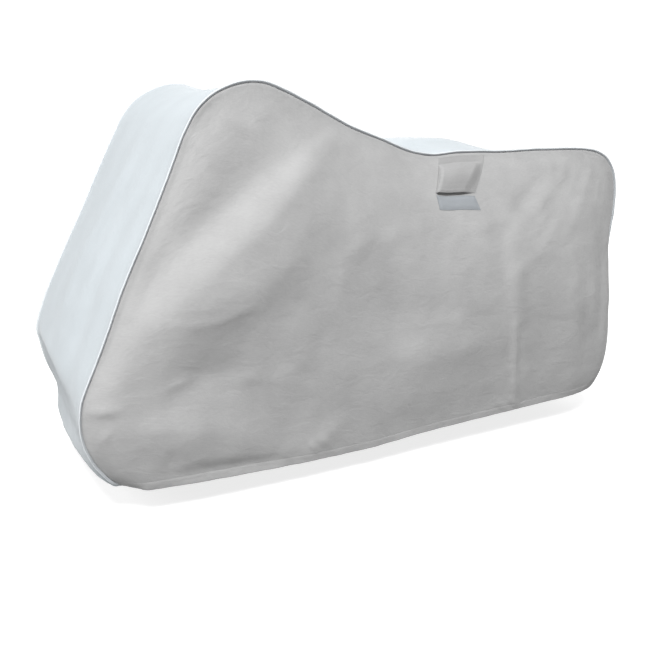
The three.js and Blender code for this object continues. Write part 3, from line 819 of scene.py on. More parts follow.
@dataclass
class SidePanel:
    """A grey side panel, from its turned hem up to the tape on its other three sides."""

    side: Side
    seams: Seams
    folds: tuple[Fold, ...]
    creases: tuple[Fold, ...] = ()
    step: float = 8.0
    length: float = 1900.0
    drop: float = 1000.0
    fold_ease: float = 70.0
    crease_ease: float = 16.0
    uneven_ease: float = 60.0
    ripple_ease: float = 12.0
    hem_ease: float = 40.0
    unevenness: tuple[float, float] = (2.0, 0.9)
    roll: SeamRoll = SeamRoll(puff=1.6, puff_reach=7)
    seam_samples: int = 1600
    hem: Hem = field(default_factory=Hem)
    ripple: Ripple = field(default_factory=lambda: Ripple(seed=5))
    hem_ripple: Ripple = field(default_factory=lambda: Ripple(seed=9, height=1.6, reach=30))
    skin: np.ndarray = field(init=False, default=None)
    skin_out: np.ndarray = field(init=False, default=None)
    skin_shares: tuple[np.ndarray, np.ndarray] = field(init=False, default=None)

    edge_steps = (0.0, 1.2, 2.6, 4.5, 7.0, 10.0, 14.0, 20.0)
    hem_steps = (0.0, 4.0, 9.0, 15.0, 21.0, 25.5, 27.5, 29.0, 30.5, 32.5, 38.0)

    def base(self, u: np.ndarray, v: np.ndarray) -> np.ndarray:
        """The panel's middle surface without creases.

        Args:
            u: shares of the way from the front seam to the back one.
            v: shares of the way from the hem to the top.

        Returns:
            A grid of points, u by v.
        """
        sign = self.side.value
        front_length = self.seams.length_at_row(FRONT_SHOULDER)
        back_start = self.seams.length_at_row(BACK_SHOULDER)
        back_length = self.seams.length - back_start

        def edge(lengths: np.ndarray) -> np.ndarray:
            """The panel's edge at lengths along the seam."""
            return self.seams.side_edge(self.seams.frames(self.side, lengths))

        front = edge(v * front_length)
        back = edge(back_start + (1 - v) * back_length)
        top = edge(front_length + u * (back_start - front_length))
        level = [r.level if self.side is Side.LEFT else r.far_level for r in HEM_ROWS]
        hem_line = SmoothLine(
            [edge(np.array([0.0]))[0]]
            + [(r.x, sign * r.half, z - PEAK_LEVEL) for r, z in zip(HEM_ROWS, level)]
            + [edge(np.array([self.seams.length]))[0]]
        )
        hem = hem_line.at(hem_line.parameter(u * hem_line.length))
        uu, vv = u[:, None, None], v[None, :, None]
        grid = (1 - uu) * front[None] + uu * back[None]
        grid = grid + (1 - vv) * hem[:, None] + vv * top[:, None]
        grid = grid - (1 - vv) * ((1 - uu) * hem[0] + uu * hem[-1])
        grid = grid - vv * ((1 - uu) * top[0] + uu * top[-1])
        places, out, skew = np.array(BELLY_ROWS).T
        belly = through_rows(places, out, u)[:, None]
        low = through_rows(places, skew, u)[:, None]
        grid[..., 1] += sign * belly * np.sin(np.pi * v[None] ** low)
        return grid

    def seam_distance(self, grid: np.ndarray) -> tuple[np.ndarray, np.ndarray, SeamFrames]:
        """How far each point is from the seam.

        Args:
            grid: the points.

        Returns:
            The distances, the nearest frame's index for each point, and the frames.
        """
        lengths = np.linspace(0, self.seams.length, self.seam_samples)
        frames = self.seams.frames(self.side, lengths)
        edge = self.seams.side_edge(frames)
        tree = kdtree.KDTree(len(edge))
        for k, point in enumerate(edge):
            tree.insert(point, k)
        tree.balance()
        flat = grid.reshape(-1, 3)
        nearest = np.array([tree.find(point)[1] for point in flat])
        off = flat - edge[nearest]
        along = frames.along[nearest]
        off = off - np.sum(off * along, axis=1, keepdims=True) * along
        shape = grid.shape[:2]
        return np.linalg.norm(off, axis=1).reshape(shape), nearest.reshape(shape), frames

    def lay(self) -> tuple[np.ndarray, np.ndarray]:
        """Lay the panel with its creases, curls and turned hem.

        Returns:
            The grid of points, and each point's flat place.
        """
        u = spaced(self.length, self.edge_steps, self.edge_steps, self.step)
        v = spaced(self.drop, self.hem_steps, self.edge_steps, self.step)
        grid = self.base(u, v)
        sign = -self.side.value
        normals = grid_normals(grid, sign)
        away, nearest, frames = self.seam_distance(grid)
        level = grid[..., 2] + PEAK_LEVEL
        x = grid[..., 0]
        rise = fold_heights(self.folds, x, level) * smooth(away / self.fold_ease)
        rise += fold_heights(self.creases, x, level) * smooth(away / self.crease_ease)
        uneven = CalmNoise(3 + self.side.value, (210, 120), 0.72)
        finer = CalmNoise(13 + self.side.value, (85, 48), 0.72)
        broad, fine = self.unevenness
        soft = broad * uneven.at(x, level) + fine * finer.at(x, level)
        rise += soft * smooth(away / self.uneven_ease)
        seam_length = nearest * self.seams.length / (self.seam_samples - 1)
        gathers = self.ripple.at(seam_length, away) * smooth(away / self.ripple_ease)
        rise += gathers + self.roll.swell(away)
        up = np.broadcast_to(v[None] * self.drop, away.shape)
        along = np.broadcast_to(u[:, None] * self.length, away.shape)
        hem_only = smooth(away / self.hem_ease)
        rise += (self.hem.relief(up) + self.hem_ripple.at(along, up)) * hem_only
        points = grid + normals * rise[..., None]
        curl, inward = self.roll.turn(away)
        points += frames.stand[nearest] * curl
        points += frames.across[nearest] * inward
        normals = grid_normals(points, sign)
        self.skin, self.skin_out, self.skin_shares = points, normals, (u, v)
        lift = unit(points[:, 2] - points[:, 0])
        under = self.hem.turned(points[:, 0], normals[:, 1], lift)
        points = np.concatenate([np.swapaxes(under, 0, 1), points], axis=1)
        across = np.concatenate([self.hem.turned_places(), v * self.drop])
        places = np.stack(np.meshgrid(u * self.length, across, indexing="ij"), axis=-1)
        return points, places

    def on_skin(self, u: np.ndarray, v: np.ndarray) -> tuple[np.ndarray, np.ndarray]:
        """Places on the laid cloth, and the way out of it there.

        Args:
            u: shares of the way from front to back.
            v: shares of the way up, of the same shape.

        Returns:
            The places and the unit directions out.
        """
        us, vs = self.skin_shares
        i = np.clip(np.searchsorted(us, u) - 1, 0, len(us) - 2)
        j = np.clip(np.searchsorted(vs, v) - 1, 0, len(vs) - 2)
        p = ((u - us[i]) / (us[i + 1] - us[i]))[..., None]
        q = ((v - vs[j]) / (vs[j + 1] - vs[j]))[..., None]

        def mixed(grid: np.ndarray) -> np.ndarray:
            """A grid's values blended between its four nearest points."""
            low = grid[i, j] * (1 - p) + grid[i + 1, j] * p
            high = grid[i, j + 1] * (1 - p) + grid[i + 1, j + 1] * p
            return low * (1 - q) + high * q

        return mixed(self.skin), unit(mixed(self.skin_out))

    def build(self) -> bpy.types.Object:
        """Returns:
            The sheet.
        """
        points, places = self.lay()
        node = f"side_panel_{self.side.word}"
        piece = GridCloth(f"{node}_cloth", points, places, -self.side.value).build()
        return declare(piece, node)


@dataclass
class CentrePanel:
    """The centre panel, one strip from the front hem to the back hem, its colour painted paler to
    stand in for the stronger light on it.
    """

    seams: Seams
    step: float = 9.0
    width_step: float = 10.0
    width: float = 800.0
    fold_ease: float = 80.0
    uneven_ease: float = 60.0
    ripple_ease: float = 12.0
    hem_ease: float = 30.0
    unevenness: float = 1.6
    roll: SeamRoll = SeamRoll(puff=3.4, puff_reach=8)
    hem: Hem = field(
        default_factory=lambda: Hem(band=54, bulge=1.2, stitch_rows=(13.5, 27.0, 40.5, 53.0))
    )
    hem_ripple: Ripple = field(
        default_factory=lambda: Ripple(seed=21, waves=(17, 26, 39, 64), height=4.2, reach=38)
    )
    ripple: Ripple = field(default_factory=lambda: Ripple(seed=23, height=0.8, reach=40))

    edge_steps = (0.0, 1.2, 2.6, 4.5, 7.0, 10.0, 14.0, 20.0, 28.0)
    hem_steps = (
        0, 3, 6, 9, 12, 13.5, 15, 18, 22, 25.5, 27, 28.5, 32, 36, 39, 40.5, 42, 46, 50, 53, 56, 62
    )

    def lay(self) -> tuple[np.ndarray, np.ndarray]:
        """Lay the strip with its creases, curls and turned hems.

        Returns:
            The grid of points, and each point's flat place.
        """
        total = self.seams.length
        share = spaced(total, self.hem_steps, self.hem_steps, self.step)
        lengths = share * total
        w = spaced(self.width, self.edge_steps, self.edge_steps, self.width_step)
        left = self.seams.frames(Side.LEFT, lengths)
        right = self.seams.frames(Side.RIGHT, lengths)
        a, b = self.seams.centre_edge(left), self.seams.centre_edge(right)
        rows = np.linspace(0, 1, len(SEAM_ROWS))
        crown = through_rows(rows, np.array([r.crown for r in SEAM_ROWS]), left.t)
        up = np.stack(
            [-left.along[:, 2], np.zeros(len(lengths)), np.maximum(left.along[:, 0], 0)],
            axis=1,
        )
        up = unit(up)
        full = through_rows(rows, np.array([r.full for r in SEAM_ROWS]), left.t)[:, None]
        arch = np.clip(np.sin(np.pi * w), 0, 1)[None] ** full
        ww = w[None, :, None]
        grid = a[:, None] * (1 - ww) + b[:, None] * ww
        grid = grid + up[:, None] * (crown[:, None] * arch)[..., None]
        normals = grid_normals(grid, 1)
        away = np.minimum(w, 1 - w)[None] * self.width * np.ones((len(lengths), 1))
        along = np.broadcast_to(lengths[:, None], away.shape)
        y = grid[..., 1]
        rise = fold_heights(CENTRE_FOLDS, along, y) * smooth(away / self.fold_ease)
        uneven = CalmNoise(31, (420, 95), 0.0)
        rise += self.unevenness * uneven.at(along, y) * smooth(away / self.uneven_ease)
        gathers = self.ripple.at(along, away) * smooth(away / self.ripple_ease)
        rise += gathers + self.roll.swell(away)
        ends = np.minimum(along, total - along)
        hem_only = smooth(away / self.hem_ease)
        rise += (self.hem.relief(ends) + self.hem_ripple.at(y + 900, ends)) * hem_only
        points = grid + normals * rise[..., None]
        curl, inward = self.roll.turn(away)
        half = (w < 0.5)[None, :, None]
        stand = np.where(half, left.stand[:, None], right.stand[:, None])
        across = np.where(half, left.across[:, None], right.across[:, None])
        points += stand * curl - across * inward
        normals = grid_normals(points, 1)
        front = self.hem.turned(points[0], normals[1], unit(points[2] - points[0]))
        back = self.hem.turned(points[-1], normals[-2], unit(points[-3] - points[-1]))
        points = np.concatenate([front, points, back[::-1]])
        turned = self.hem.turned_places()
        way = np.concatenate([turned, lengths, total - turned[::-1]])
        places = np.stack(np.meshgrid(way, w * self.width, indexing="ij"), axis=-1)
        return points, places

    def build(self) -> bpy.types.Object:
        """Returns:
            The sheet.
        """
        points, places = self.lay()
        piece = GridCloth("centre_panel_cloth", points, places, 1).build()
        return declare(piece, "centre_panel")


@dataclass
class SeamBinding:
    """The tape folded over both cloth edges along one seam."""

    side: Side
    seams: Seams
    step: float = 6.0
    sway: float = 0.5
    swell: float = 0.05
    end_share: float = 0.45
    end_reach: float = 30.0
    outer: tuple[tuple[float, float], ...] = (
        (2.2, -1.6), (2.5, 0.2), (2.2, 2.6), (1.8, 3.4), (2.3, 4.4),
        (2.8, 6.4), (2.7, 8.6), (2.1, 10.2), (1.1, 11.2), (0.0, 11.5),
    )
    inner: tuple[tuple[float, float], ...] = (
        (1.3, -1.4), (1.4, 0.4), (1.2, 2.8), (1.1, 4.4),
        (1.4, 6.6), (1.3, 8.6), (0.8, 9.8), (0.0, 10.3),
    )

    def profile(self) -> np.ndarray:
        """Draw the folded tape's section.

        Returns:
            Its points, across and up, as a closed loop.
        """
        outer = list(self.outer)
        inner = list(self.inner)
        loop = outer + [(-x, y) for x, y in reversed(outer[:-1])]
        loop += [(-x, y) for x, y in inner] + [(x, y) for x, y in reversed(inner[:-1])]
        return np.array(loop, float)

    def frames(self) -> SeamFrames:
        """Take the seam's places for the tape, with the tape's own small sway.

        Returns:
            The frames that the section is swept along.
        """
        lengths = np.linspace(0, self.seams.length, int(self.seams.length / self.step))
        frames = self.seams.frames(self.side, lengths)
        sway = CalmNoise(41 + self.side.value, (46, 46), 0.0).at(lengths, lengths * 0)
        frames.at = frames.at + frames.across * (self.sway * sway)[:, None]
        return frames

    def build(self) -> bpy.types.Object:
        """Returns:
            The tape.
        """
        frames = self.frames()
        profile = self.profile()
        way = np.linspace(0, self.seams.length, len(frames.at))
        swell = 1 + self.swell * CalmNoise(47, (30, 30), 0.0).at(way, way * 0)
        inside = smooth(np.minimum(way, self.seams.length - way) / self.end_reach)
        swell *= self.end_share + (1 - self.end_share) * inside
        points = (
            frames.at[:, None]
            + frames.across[:, None] * profile[None, :, :1]
            + frames.stand[:, None] * profile[None, :, 1:] * swell[:, None, None]
        )
        stations, ring = points.shape[:2]
        index = np.arange(stations * ring).reshape(stations, ring)
        after = np.roll(index, -1, axis=1)
        quads = (index[:-1], index[1:], after[1:], after[:-1])
        if self.side is Side.RIGHT:
            quads = quads[::-1]
        faces = np.stack(quads, axis=-1).reshape(-1, 4).tolist()
        caps = [index[0].tolist(), index[-1][::-1].tolist()]
        if self.side is Side.RIGHT:
            caps = [cap[::-1] for cap in caps]
        around = np.concatenate([[0], np.cumsum(np.linalg.norm(np.diff(profile, axis=0), axis=1))])
        places = np.stack(np.meshgrid(way, around, indexing="ij"), axis=-1)
        node = f"seam_binding_{self.side.word}"
        piece = lay_mesh(f"{node}_tape", points, faces + caps, places)
        piece.data.shade_smooth()
        flat = (0.028, round(self.seams.length * MM, 2))
        return declare(piece, node)


@dataclass
class VentHood:
    """The hood on the left side: sewn at its top and sides, open at its lip."""

    panel: SidePanel
    front_x: float = 674.0
    back_x: float = 859.0
    top: float = 0.991
    lip: float = 0.8655
    row: float = 0.054
    front_lean: float = 0.92
    back_lean: float = 1.75
    back_drop: float = 0.25
    seat: float = 1.5
    width: float = 178.0
    drop: float = 150.0
    downs: tuple[float, ...] = (0, 0.17, 0.21, 0.245, 0.29, 0.37, 0.48, 0.62, 0.8, 0.93, 1)
    stands: tuple[float, ...] = (0, 0, -0.7, 3.4, 8, 14, 18, 19.5, 16.5, 12.5, 9)
    roll: float = 4.0
    roll_share: float = 0.085
    sag: float = 2.2
    sag_start: float = 0.25
    open_front: float = 0.05
    open_back: tuple[float, float] = (0.16, 0.24)
    closed_fold: float = 0.12
    width_step: float = 4.5
    drop_step: float = 3.2
    hem: Hem = field(
        default_factory=lambda: Hem(
            band=11, bulge=0.7, depth=0.42, fold_radius=1.1,
            turned_steps=(0.6, 0.6, 0.6, 0.6, 0.6, 1.6, 2.5, 2.5, 2.5, 2.5),
        )
    )

    side_steps = (0.0, 1.5, 4.0, 8.0, 13.0)
    top_steps = (0.0, 2.0, 5.0)
    lip_steps = (0.0, 2.5, 6.0, 9.5, 11.0, 12.5, 16.0)

    def shares(self, across: np.ndarray, up: np.ndarray) -> tuple[np.ndarray, np.ndarray]:
        """The panel's shares at places counted in quarters of the hood and rows of the label.

        Args:
            across: quarters of the hood's width back from its front edge.
            up: rows above the label's foot.

        Returns:
            The panel's two shares.
        """
        seams = self.panel.seams
        start = seams.length_at_row(FRONT_SHOULDER)
        span = seams.length_at_row(BACK_SHOULDER) - start
        front = (seams.length_at_x(self.front_x) - start) / span
        back = (seams.length_at_x(self.back_x) - start) / span
        quarter = np.where(across < 0, front / 20, (back - front) / 4)
        return front + across * quarter, self.lip - self.row + up * self.row

    def lay(self) -> tuple[np.ndarray, np.ndarray]:
        """Lay the hood over the panel.

        Returns:
            The grid of points, and each point's flat place.
        """
        a = spaced(self.width, self.side_steps, self.side_steps, self.width_step)
        d = spaced(self.drop, self.top_steps, self.lip_steps, self.drop_step)
        aa, dd = np.meshgrid(a, d, indexing="ij")
        lean = self.front_lean + (self.back_lean - self.front_lean) * aa
        edge_roll = self.roll / self.width * np.sin(np.pi * np.clip(aa / self.roll_share, 0, 1))
        edge_roll = edge_roll * smooth((dd - 0.2) / 0.15)
        u, _ = self.shares(4 * (aa - edge_roll) - dd * lean, aa)
        lip = self.lip - self.row * self.back_drop * aa
        at, out = self.panel.on_skin(u, self.top + (lip - self.top) * dd)
        stand = through_rows(np.array(self.downs), np.array(self.stands), dd)
        back, back_more = self.open_back
        share = smooth(aa / self.open_front) * smooth((1 - aa) / (back + back_more * dd))
        below = dd - self.sag_start
        sag = self.sag * np.sin(np.pi * np.clip(below / (1 - self.sag_start), 0, 1))
        sag = sag * np.sin(2 * np.pi * aa)
        lift = (stand + sag * smooth(below / 0.2)) * share + self.seat
        lift += self.hem.relief((1 - dd) * self.drop) * share
        points = at + out * lift[..., None]
        normals = grid_normals(points, 1)
        way = unit(points[:, -3] - points[:, -1])
        fold = np.clip(lift[:, -1] / 5.0, self.closed_fold, 1)[:, None]
        under = self.hem.turned(points[:, -1], -normals[:, -2], way, fold)
        points = np.concatenate([points, np.swapaxes(under, 0, 1)[:, ::-1]], axis=1)
        across = np.concatenate([d * self.drop, self.drop + np.cumsum(self.hem.turned_steps)])
        return points, np.stack(np.meshgrid(a * self.width, across, indexing="ij"), axis=-1)

    def build(self) -> bpy.types.Object:
        """Returns:
            The sheet.
        """
        points, places = self.lay()
        piece = GridCloth("vent_hood_cloth", points, places, -1, 1.0).build()
        return declare(piece, "vent_hood")


@dataclass
class BlankLabel:
    """The sewn label under the hood, left blank."""

    hood: VentHood
    width: float = 150.0
    drop: float = 46.0
    lower: tuple[float, float, float, float] = (-0.67, 2.66, -0.05, -0.36)
    upper: tuple[float, float, float, float] = (-0.92, 2.2, 0.84, 0.56)
    seat: float = 1.4
    stitch_at: float = 2.0
    stitch_pull: float = 0.35
    stitch_reach: float = 0.8
    pillow: float = 1.6
    pillow_reach: float = 14.0
    unevenness: float = 0.5

    rim_steps = (0.0, 0.8, 2.0, 3.2)

    def build(self) -> bpy.types.Object:
        """Returns:
            The sheet.
        """
        a = spaced(self.width, self.rim_steps, self.rim_steps, 4.0)
        b = spaced(self.drop, self.rim_steps, self.rim_steps, 3.2)
        aa, bb = np.meshgrid(a, b, indexing="ij")
        low = [self.lower[n] * (1 - bb) + self.upper[n] * bb for n in range(4)]
        u, v = self.hood.shares(low[0] * (1 - aa) + low[1] * aa, low[2] * (1 - aa) + low[3] * aa)
        at, out = self.hood.panel.on_skin(u, v)
        edge = np.minimum.reduce(
            [aa * self.width, (1 - aa) * self.width, bb * self.drop, (1 - bb) * self.drop]
        )
        off = (edge - self.stitch_at) / self.stitch_reach
        seam = -self.stitch_pull * np.exp(-(off**2))
        places = np.stack([aa * self.width, bb * self.drop], axis=-1)
        uneven = CalmNoise(61, (17, 13), 0.3).at(places[..., 0], places[..., 1])
        swell = self.pillow * smooth(edge / self.pillow_reach) + self.unevenness * uneven
        lift = self.seat + seam + swell * smooth((edge - self.stitch_at) / 6)
        points = at + out * lift[..., None]
        piece = GridCloth("blank_label_cloth", points, places, 1, 0.6).build()
        return declare(piece, "blank_label")


class Way(Enum):
    """The two directions of a cloth's flat places, as its UV map holds them."""

    FIRST = "X"
    SECOND = "Y"


@dataclass(frozen=True)
class StitchLine:
    """A row of stitches at one distance along a cloth's first or second way, in millimetres."""

    way: Way
    at: float
    zigzag: float = 0.0
    pitch: float = 3.4

    @property
    def reach(self) -> float:
        """Half the width that its thread covers."""
        return 0.9 if self.zigzag else 0.55

    @property
    def fullness(self) -> float:
        """How much of each stitch shows, 1 and more for all of it."""
        return 2.0 if self.zigzag else 0.7


def stitched(
    first: tuple[float, ...] = (), second: tuple[float, ...] = (), pitch: float = 3.4
) -> tuple[StitchLine, ...]:
    """Straight rows of stitches at distances along a cloth's first and second way."""
    rows = [(Way.FIRST, at) for at in first] + [(Way.SECOND, at) for at in second]
    return tuple(StitchLine(way, at, pitch=pitch) for way, at in rows)


Feed = float | tuple[float, ...] | Socket


class NodeSheet:
    """A node tree, with short calls for the nodes and sums that its patterns need."""

    def __init__(self, owner: bpy.types.Material | bpy.types.World) -> None:
        """Open a node tree.

        Args:
            owner: the material or world that it belongs to.
        """
        owner.use_nodes = True
        self.nodes = owner.node_tree.nodes
        self.links = owner.node_tree.links

    def feed(self, value: Feed, socket: Socket) -> None:
        """Set a socket, or link another node to it.

        Args:
            value: a number, a colour, or the other node's output.
            socket: the input that takes it.
        """
        if isinstance(value, Socket):
            self.links.new(value, socket)
        else:
            socket.default_value = value

    def add(
        self, kind: str, inputs: dict[str | int, Feed], out: str | int = 0, **settings: str
    ) -> Socket:
        """Add a node.

        Args:
            kind: its type's name after "ShaderNode".
            inputs: what its inputs are fed with.
            out: the output that is wanted.
            settings: the node's own settings.

        Returns:
            That output.
        """
        node = self.nodes.new(f"ShaderNode{kind}")
        for name, value in settings.items():
            setattr(node, name, value)
        for name, value in inputs.items():
            self.feed(value, node.inputs[name])
        return node.outputs[out]

    def math(self, kind: str, *values: Feed) -> Socket:
        """One sum of up to three values."""
        return self.add("Math", dict(enumerate(values)), operation=kind)

    def noise(
        self, place: Socket, scale: float, detail: float, warp: float = 0.0
    ) -> Socket:
        """A noise pattern over a place.

        Args:
            place: the coordinates that it is read at.
            scale: how many features a metre holds.
            detail: how many finer layers it has.
            warp: how far it is twisted.

        Returns:
            The pattern, from 0 to 1.
        """
        inputs = {"Vector": place, "Scale": scale, "Detail": detail, "Distortion": warp}
        return self.add("TexNoise", inputs, "Fac")

    def stretched(self, place: Socket, turn: float, squeeze: float) -> Socket:
        """A place turned by an angle and squeezed along one way, for a pattern in streaks."""
        inputs = {"Vector": place, "Rotation": (0, 0, turn), "Scale": (squeeze, 1, 1)}
        return self.add("Mapping", inputs)

    def tinted(self, share: Socket, under: Socket, colour: tuple[float, ...]) -> Socket:
        """A colour laid over another by a pattern's share."""
        inputs = {"Factor": share, "A": under, "B": (*colour, 1)}
        return self.add("Mix", inputs, "Result", data_type="RGBA")

    def bump(
        self, height: Socket, strength: float, depth: float,
        before: Socket | None = None,
    ) -> Socket:
        """A relief that only the light sees.

        Args:
            height: the pattern of the relief.
            strength: its share, from 0 to 1.
            depth: its depth in metres.
            before: the relief that this one is laid over.

        Returns:
            The direction out of the cloth.
        """
        inputs = {"Strength": strength, "Distance": depth, "Height": height}
        if before is not None:
            inputs["Normal"] = before
        return self.add("Bump", inputs)

    def shown(self, room: Socket, camera: Socket) -> Socket:
        """One shader for the light in the room and another for what the camera sees."""
        seen = self.add("LightPath", {}, "Is Camera Ray")
        return self.add("MixShader", {"Fac": seen, 1: room, 2: camera})


@dataclass(frozen=True)
class ClothFinish:
    """Matt cloth: soft clouds, short fibres, small crinkles, a fine grain and rows of stitches."""

    name: str
    colour: tuple[float, float, float]
    roughness: float = 0.82
    sheen: float = 0.15
    mottle: float = 0.09
    crinkle: float = 0.5
    rib: float = 0.0
    thread: float = 0.25
    stitches: tuple[StitchLine, ...] = ()
    # inner, where given, is a painted highlight: a lighter colour over the first stretch of the
    # cloth's second way, which on the tape stands in for the light on its face towards the centre
    # panel and on its top.
    inner: tuple[float, float, float] | None = None
    painted_highlight_reach: float = 0.0
    painted_highlight_edge: float = 0.8
    cloud_scale: float = 9.0
    fibre_scale: float = 260.0
    crinkle_scale: float = 26.0
    grain_scale: float = 520.0
    rib_pitch: float = 0.0012
    crinkle_depth: float = 0.004
    grain_depth: float = 0.0004
    rib_depth: float = 0.0002
    thread_depth: float = 0.0006

    def stitch_mask(self, sheet: NodeSheet, ways: dict[Way, Socket]) -> Socket:
        """Draw the rows of stitches.

        Args:
            sheet: the node tree.
            ways: the two ways of the cloth's flat places.

        Returns:
            The pattern, 1 on a thread and 0 off it.
        """
        total = sheet.math("ADD", 0.0, 0.0)
        for line in self.stitches:
            other = ways[Way.SECOND if line.way is Way.FIRST else Way.FIRST]
            step = line.pitch * MM
            swing = sheet.math("PINGPONG", other, step)
            swing = sheet.math("MULTIPLY", swing, line.zigzag / line.pitch)
            off = sheet.math("SUBTRACT", ways[line.way], line.at * MM)
            off = sheet.math("ABSOLUTE", sheet.math("SUBTRACT", off, swing))
            near = sheet.math("SUBTRACT", 1.0, sheet.math("DIVIDE", off, line.reach * MM))
            beat = sheet.math("SINE", sheet.math("MULTIPLY", other, 2 * math.pi / step))
            thread = sheet.math("MINIMUM", near, sheet.math("ADD", beat, line.fullness))
            total = sheet.math("MAXIMUM", total, thread)
        return sheet.math("MINIMUM", total, 1.0)

    def material(self) -> bpy.types.Material:
        """Build the node material.

        Returns:
            The material, which reads the cloth's own UV map.
        """
        material = bpy.data.materials.new(self.name)
        sheet = NodeSheet(material)
        shader = sheet.nodes["Principled BSDF"]
        shader.inputs["Roughness"].default_value = self.roughness
        shader.inputs["Sheen Weight"].default_value = self.sheen
        shader.inputs["Sheen Roughness"].default_value = 0.5
        shader.inputs["Specular IOR Level"].default_value = 0.25
        flat = sheet.add("UVMap", {}, uv_map="flat")
        ways = {way: sheet.add("SeparateXYZ", {"Vector": flat}, way.value) for way in Way}
        threads = self.stitch_mask(sheet, ways)
        sheet.feed(self.tone(sheet, flat, ways, threads), shader.inputs["Base Color"])
        streaks = sheet.stretched(flat, turn=0.7, squeeze=0.55)
        crinkles = sheet.noise(streaks, self.crinkle_scale, detail=4.0, warp=0.8)
        normal = sheet.bump(crinkles, self.crinkle, self.crinkle_depth)
        grain = sheet.add("TexVoronoi", {"Vector": flat, "Scale": self.grain_scale}, "Distance")
        normal = sheet.bump(grain, 0.2, self.grain_depth, normal)
        if self.rib:
            turn = sheet.math("MULTIPLY", ways[Way.FIRST], 2 * math.pi / self.rib_pitch)
            normal = sheet.bump(sheet.math("SINE", turn), self.rib, self.rib_depth, normal)
        if self.stitches:
            normal = sheet.bump(threads, 0.6, self.thread_depth, normal)
        sheet.feed(normal, shader.inputs["Normal"])
        return material

    def tone(
        self, sheet: NodeSheet, flat: Socket, ways: dict[Way, Socket], threads: Socket
    ) -> Socket:
        """The cloth's colour with its clouds, fibres and threads, and a painted highlight where an
        inner colour is given.

        Args:
            sheet: the node tree.
            flat: the cloth's flat places.
            ways: their two ways.
            threads: where the threads lie.

        Returns:
            The colour.
        """
        clouds = sheet.noise(flat, self.cloud_scale, detail=5.0, warp=0.4)
        streaks = sheet.stretched(flat, turn=0.5, squeeze=0.3)
        fibres = sheet.noise(streaks, self.fibre_scale, detail=3.0)
        blend = sheet.math("MULTIPLY_ADD", clouds, 0.65, sheet.math("MULTIPLY", fibres, 0.35))
        ramp = sheet.nodes.new("ShaderNodeValToRGB")
        for end, place, sign in zip(ramp.color_ramp.elements, (0.3, 0.7), (-1, 1)):
            end.position = place
            end.color = (*[min(c * (1 + sign * self.mottle), 1) for c in self.colour], 1)
        sheet.feed(blend, ramp.inputs["Fac"])
        thread = tuple(c * (1 + self.thread) for c in self.colour)
        colour = sheet.tinted(threads, ramp.outputs["Color"], thread)
        # Painted highlight: the inner colour laid with a soft edge over the start of the second
        # way.
        if self.inner:
            reach = sheet.math("SUBTRACT", self.painted_highlight_reach * MM, ways[Way.SECOND])
            reach = sheet.math("MULTIPLY_ADD", reach, 1 / (self.painted_highlight_edge * MM), 0.5)
            colour = sheet.tinted(reach, colour, self.inner)
        return colour


@dataclass(frozen=True)
class Lamp:
    """A soft lamp: its way and distance from the cover's middle, its size and its power."""

    name: str
    way: tuple[float, float, float]
    distance: float
    size: float
    power: float


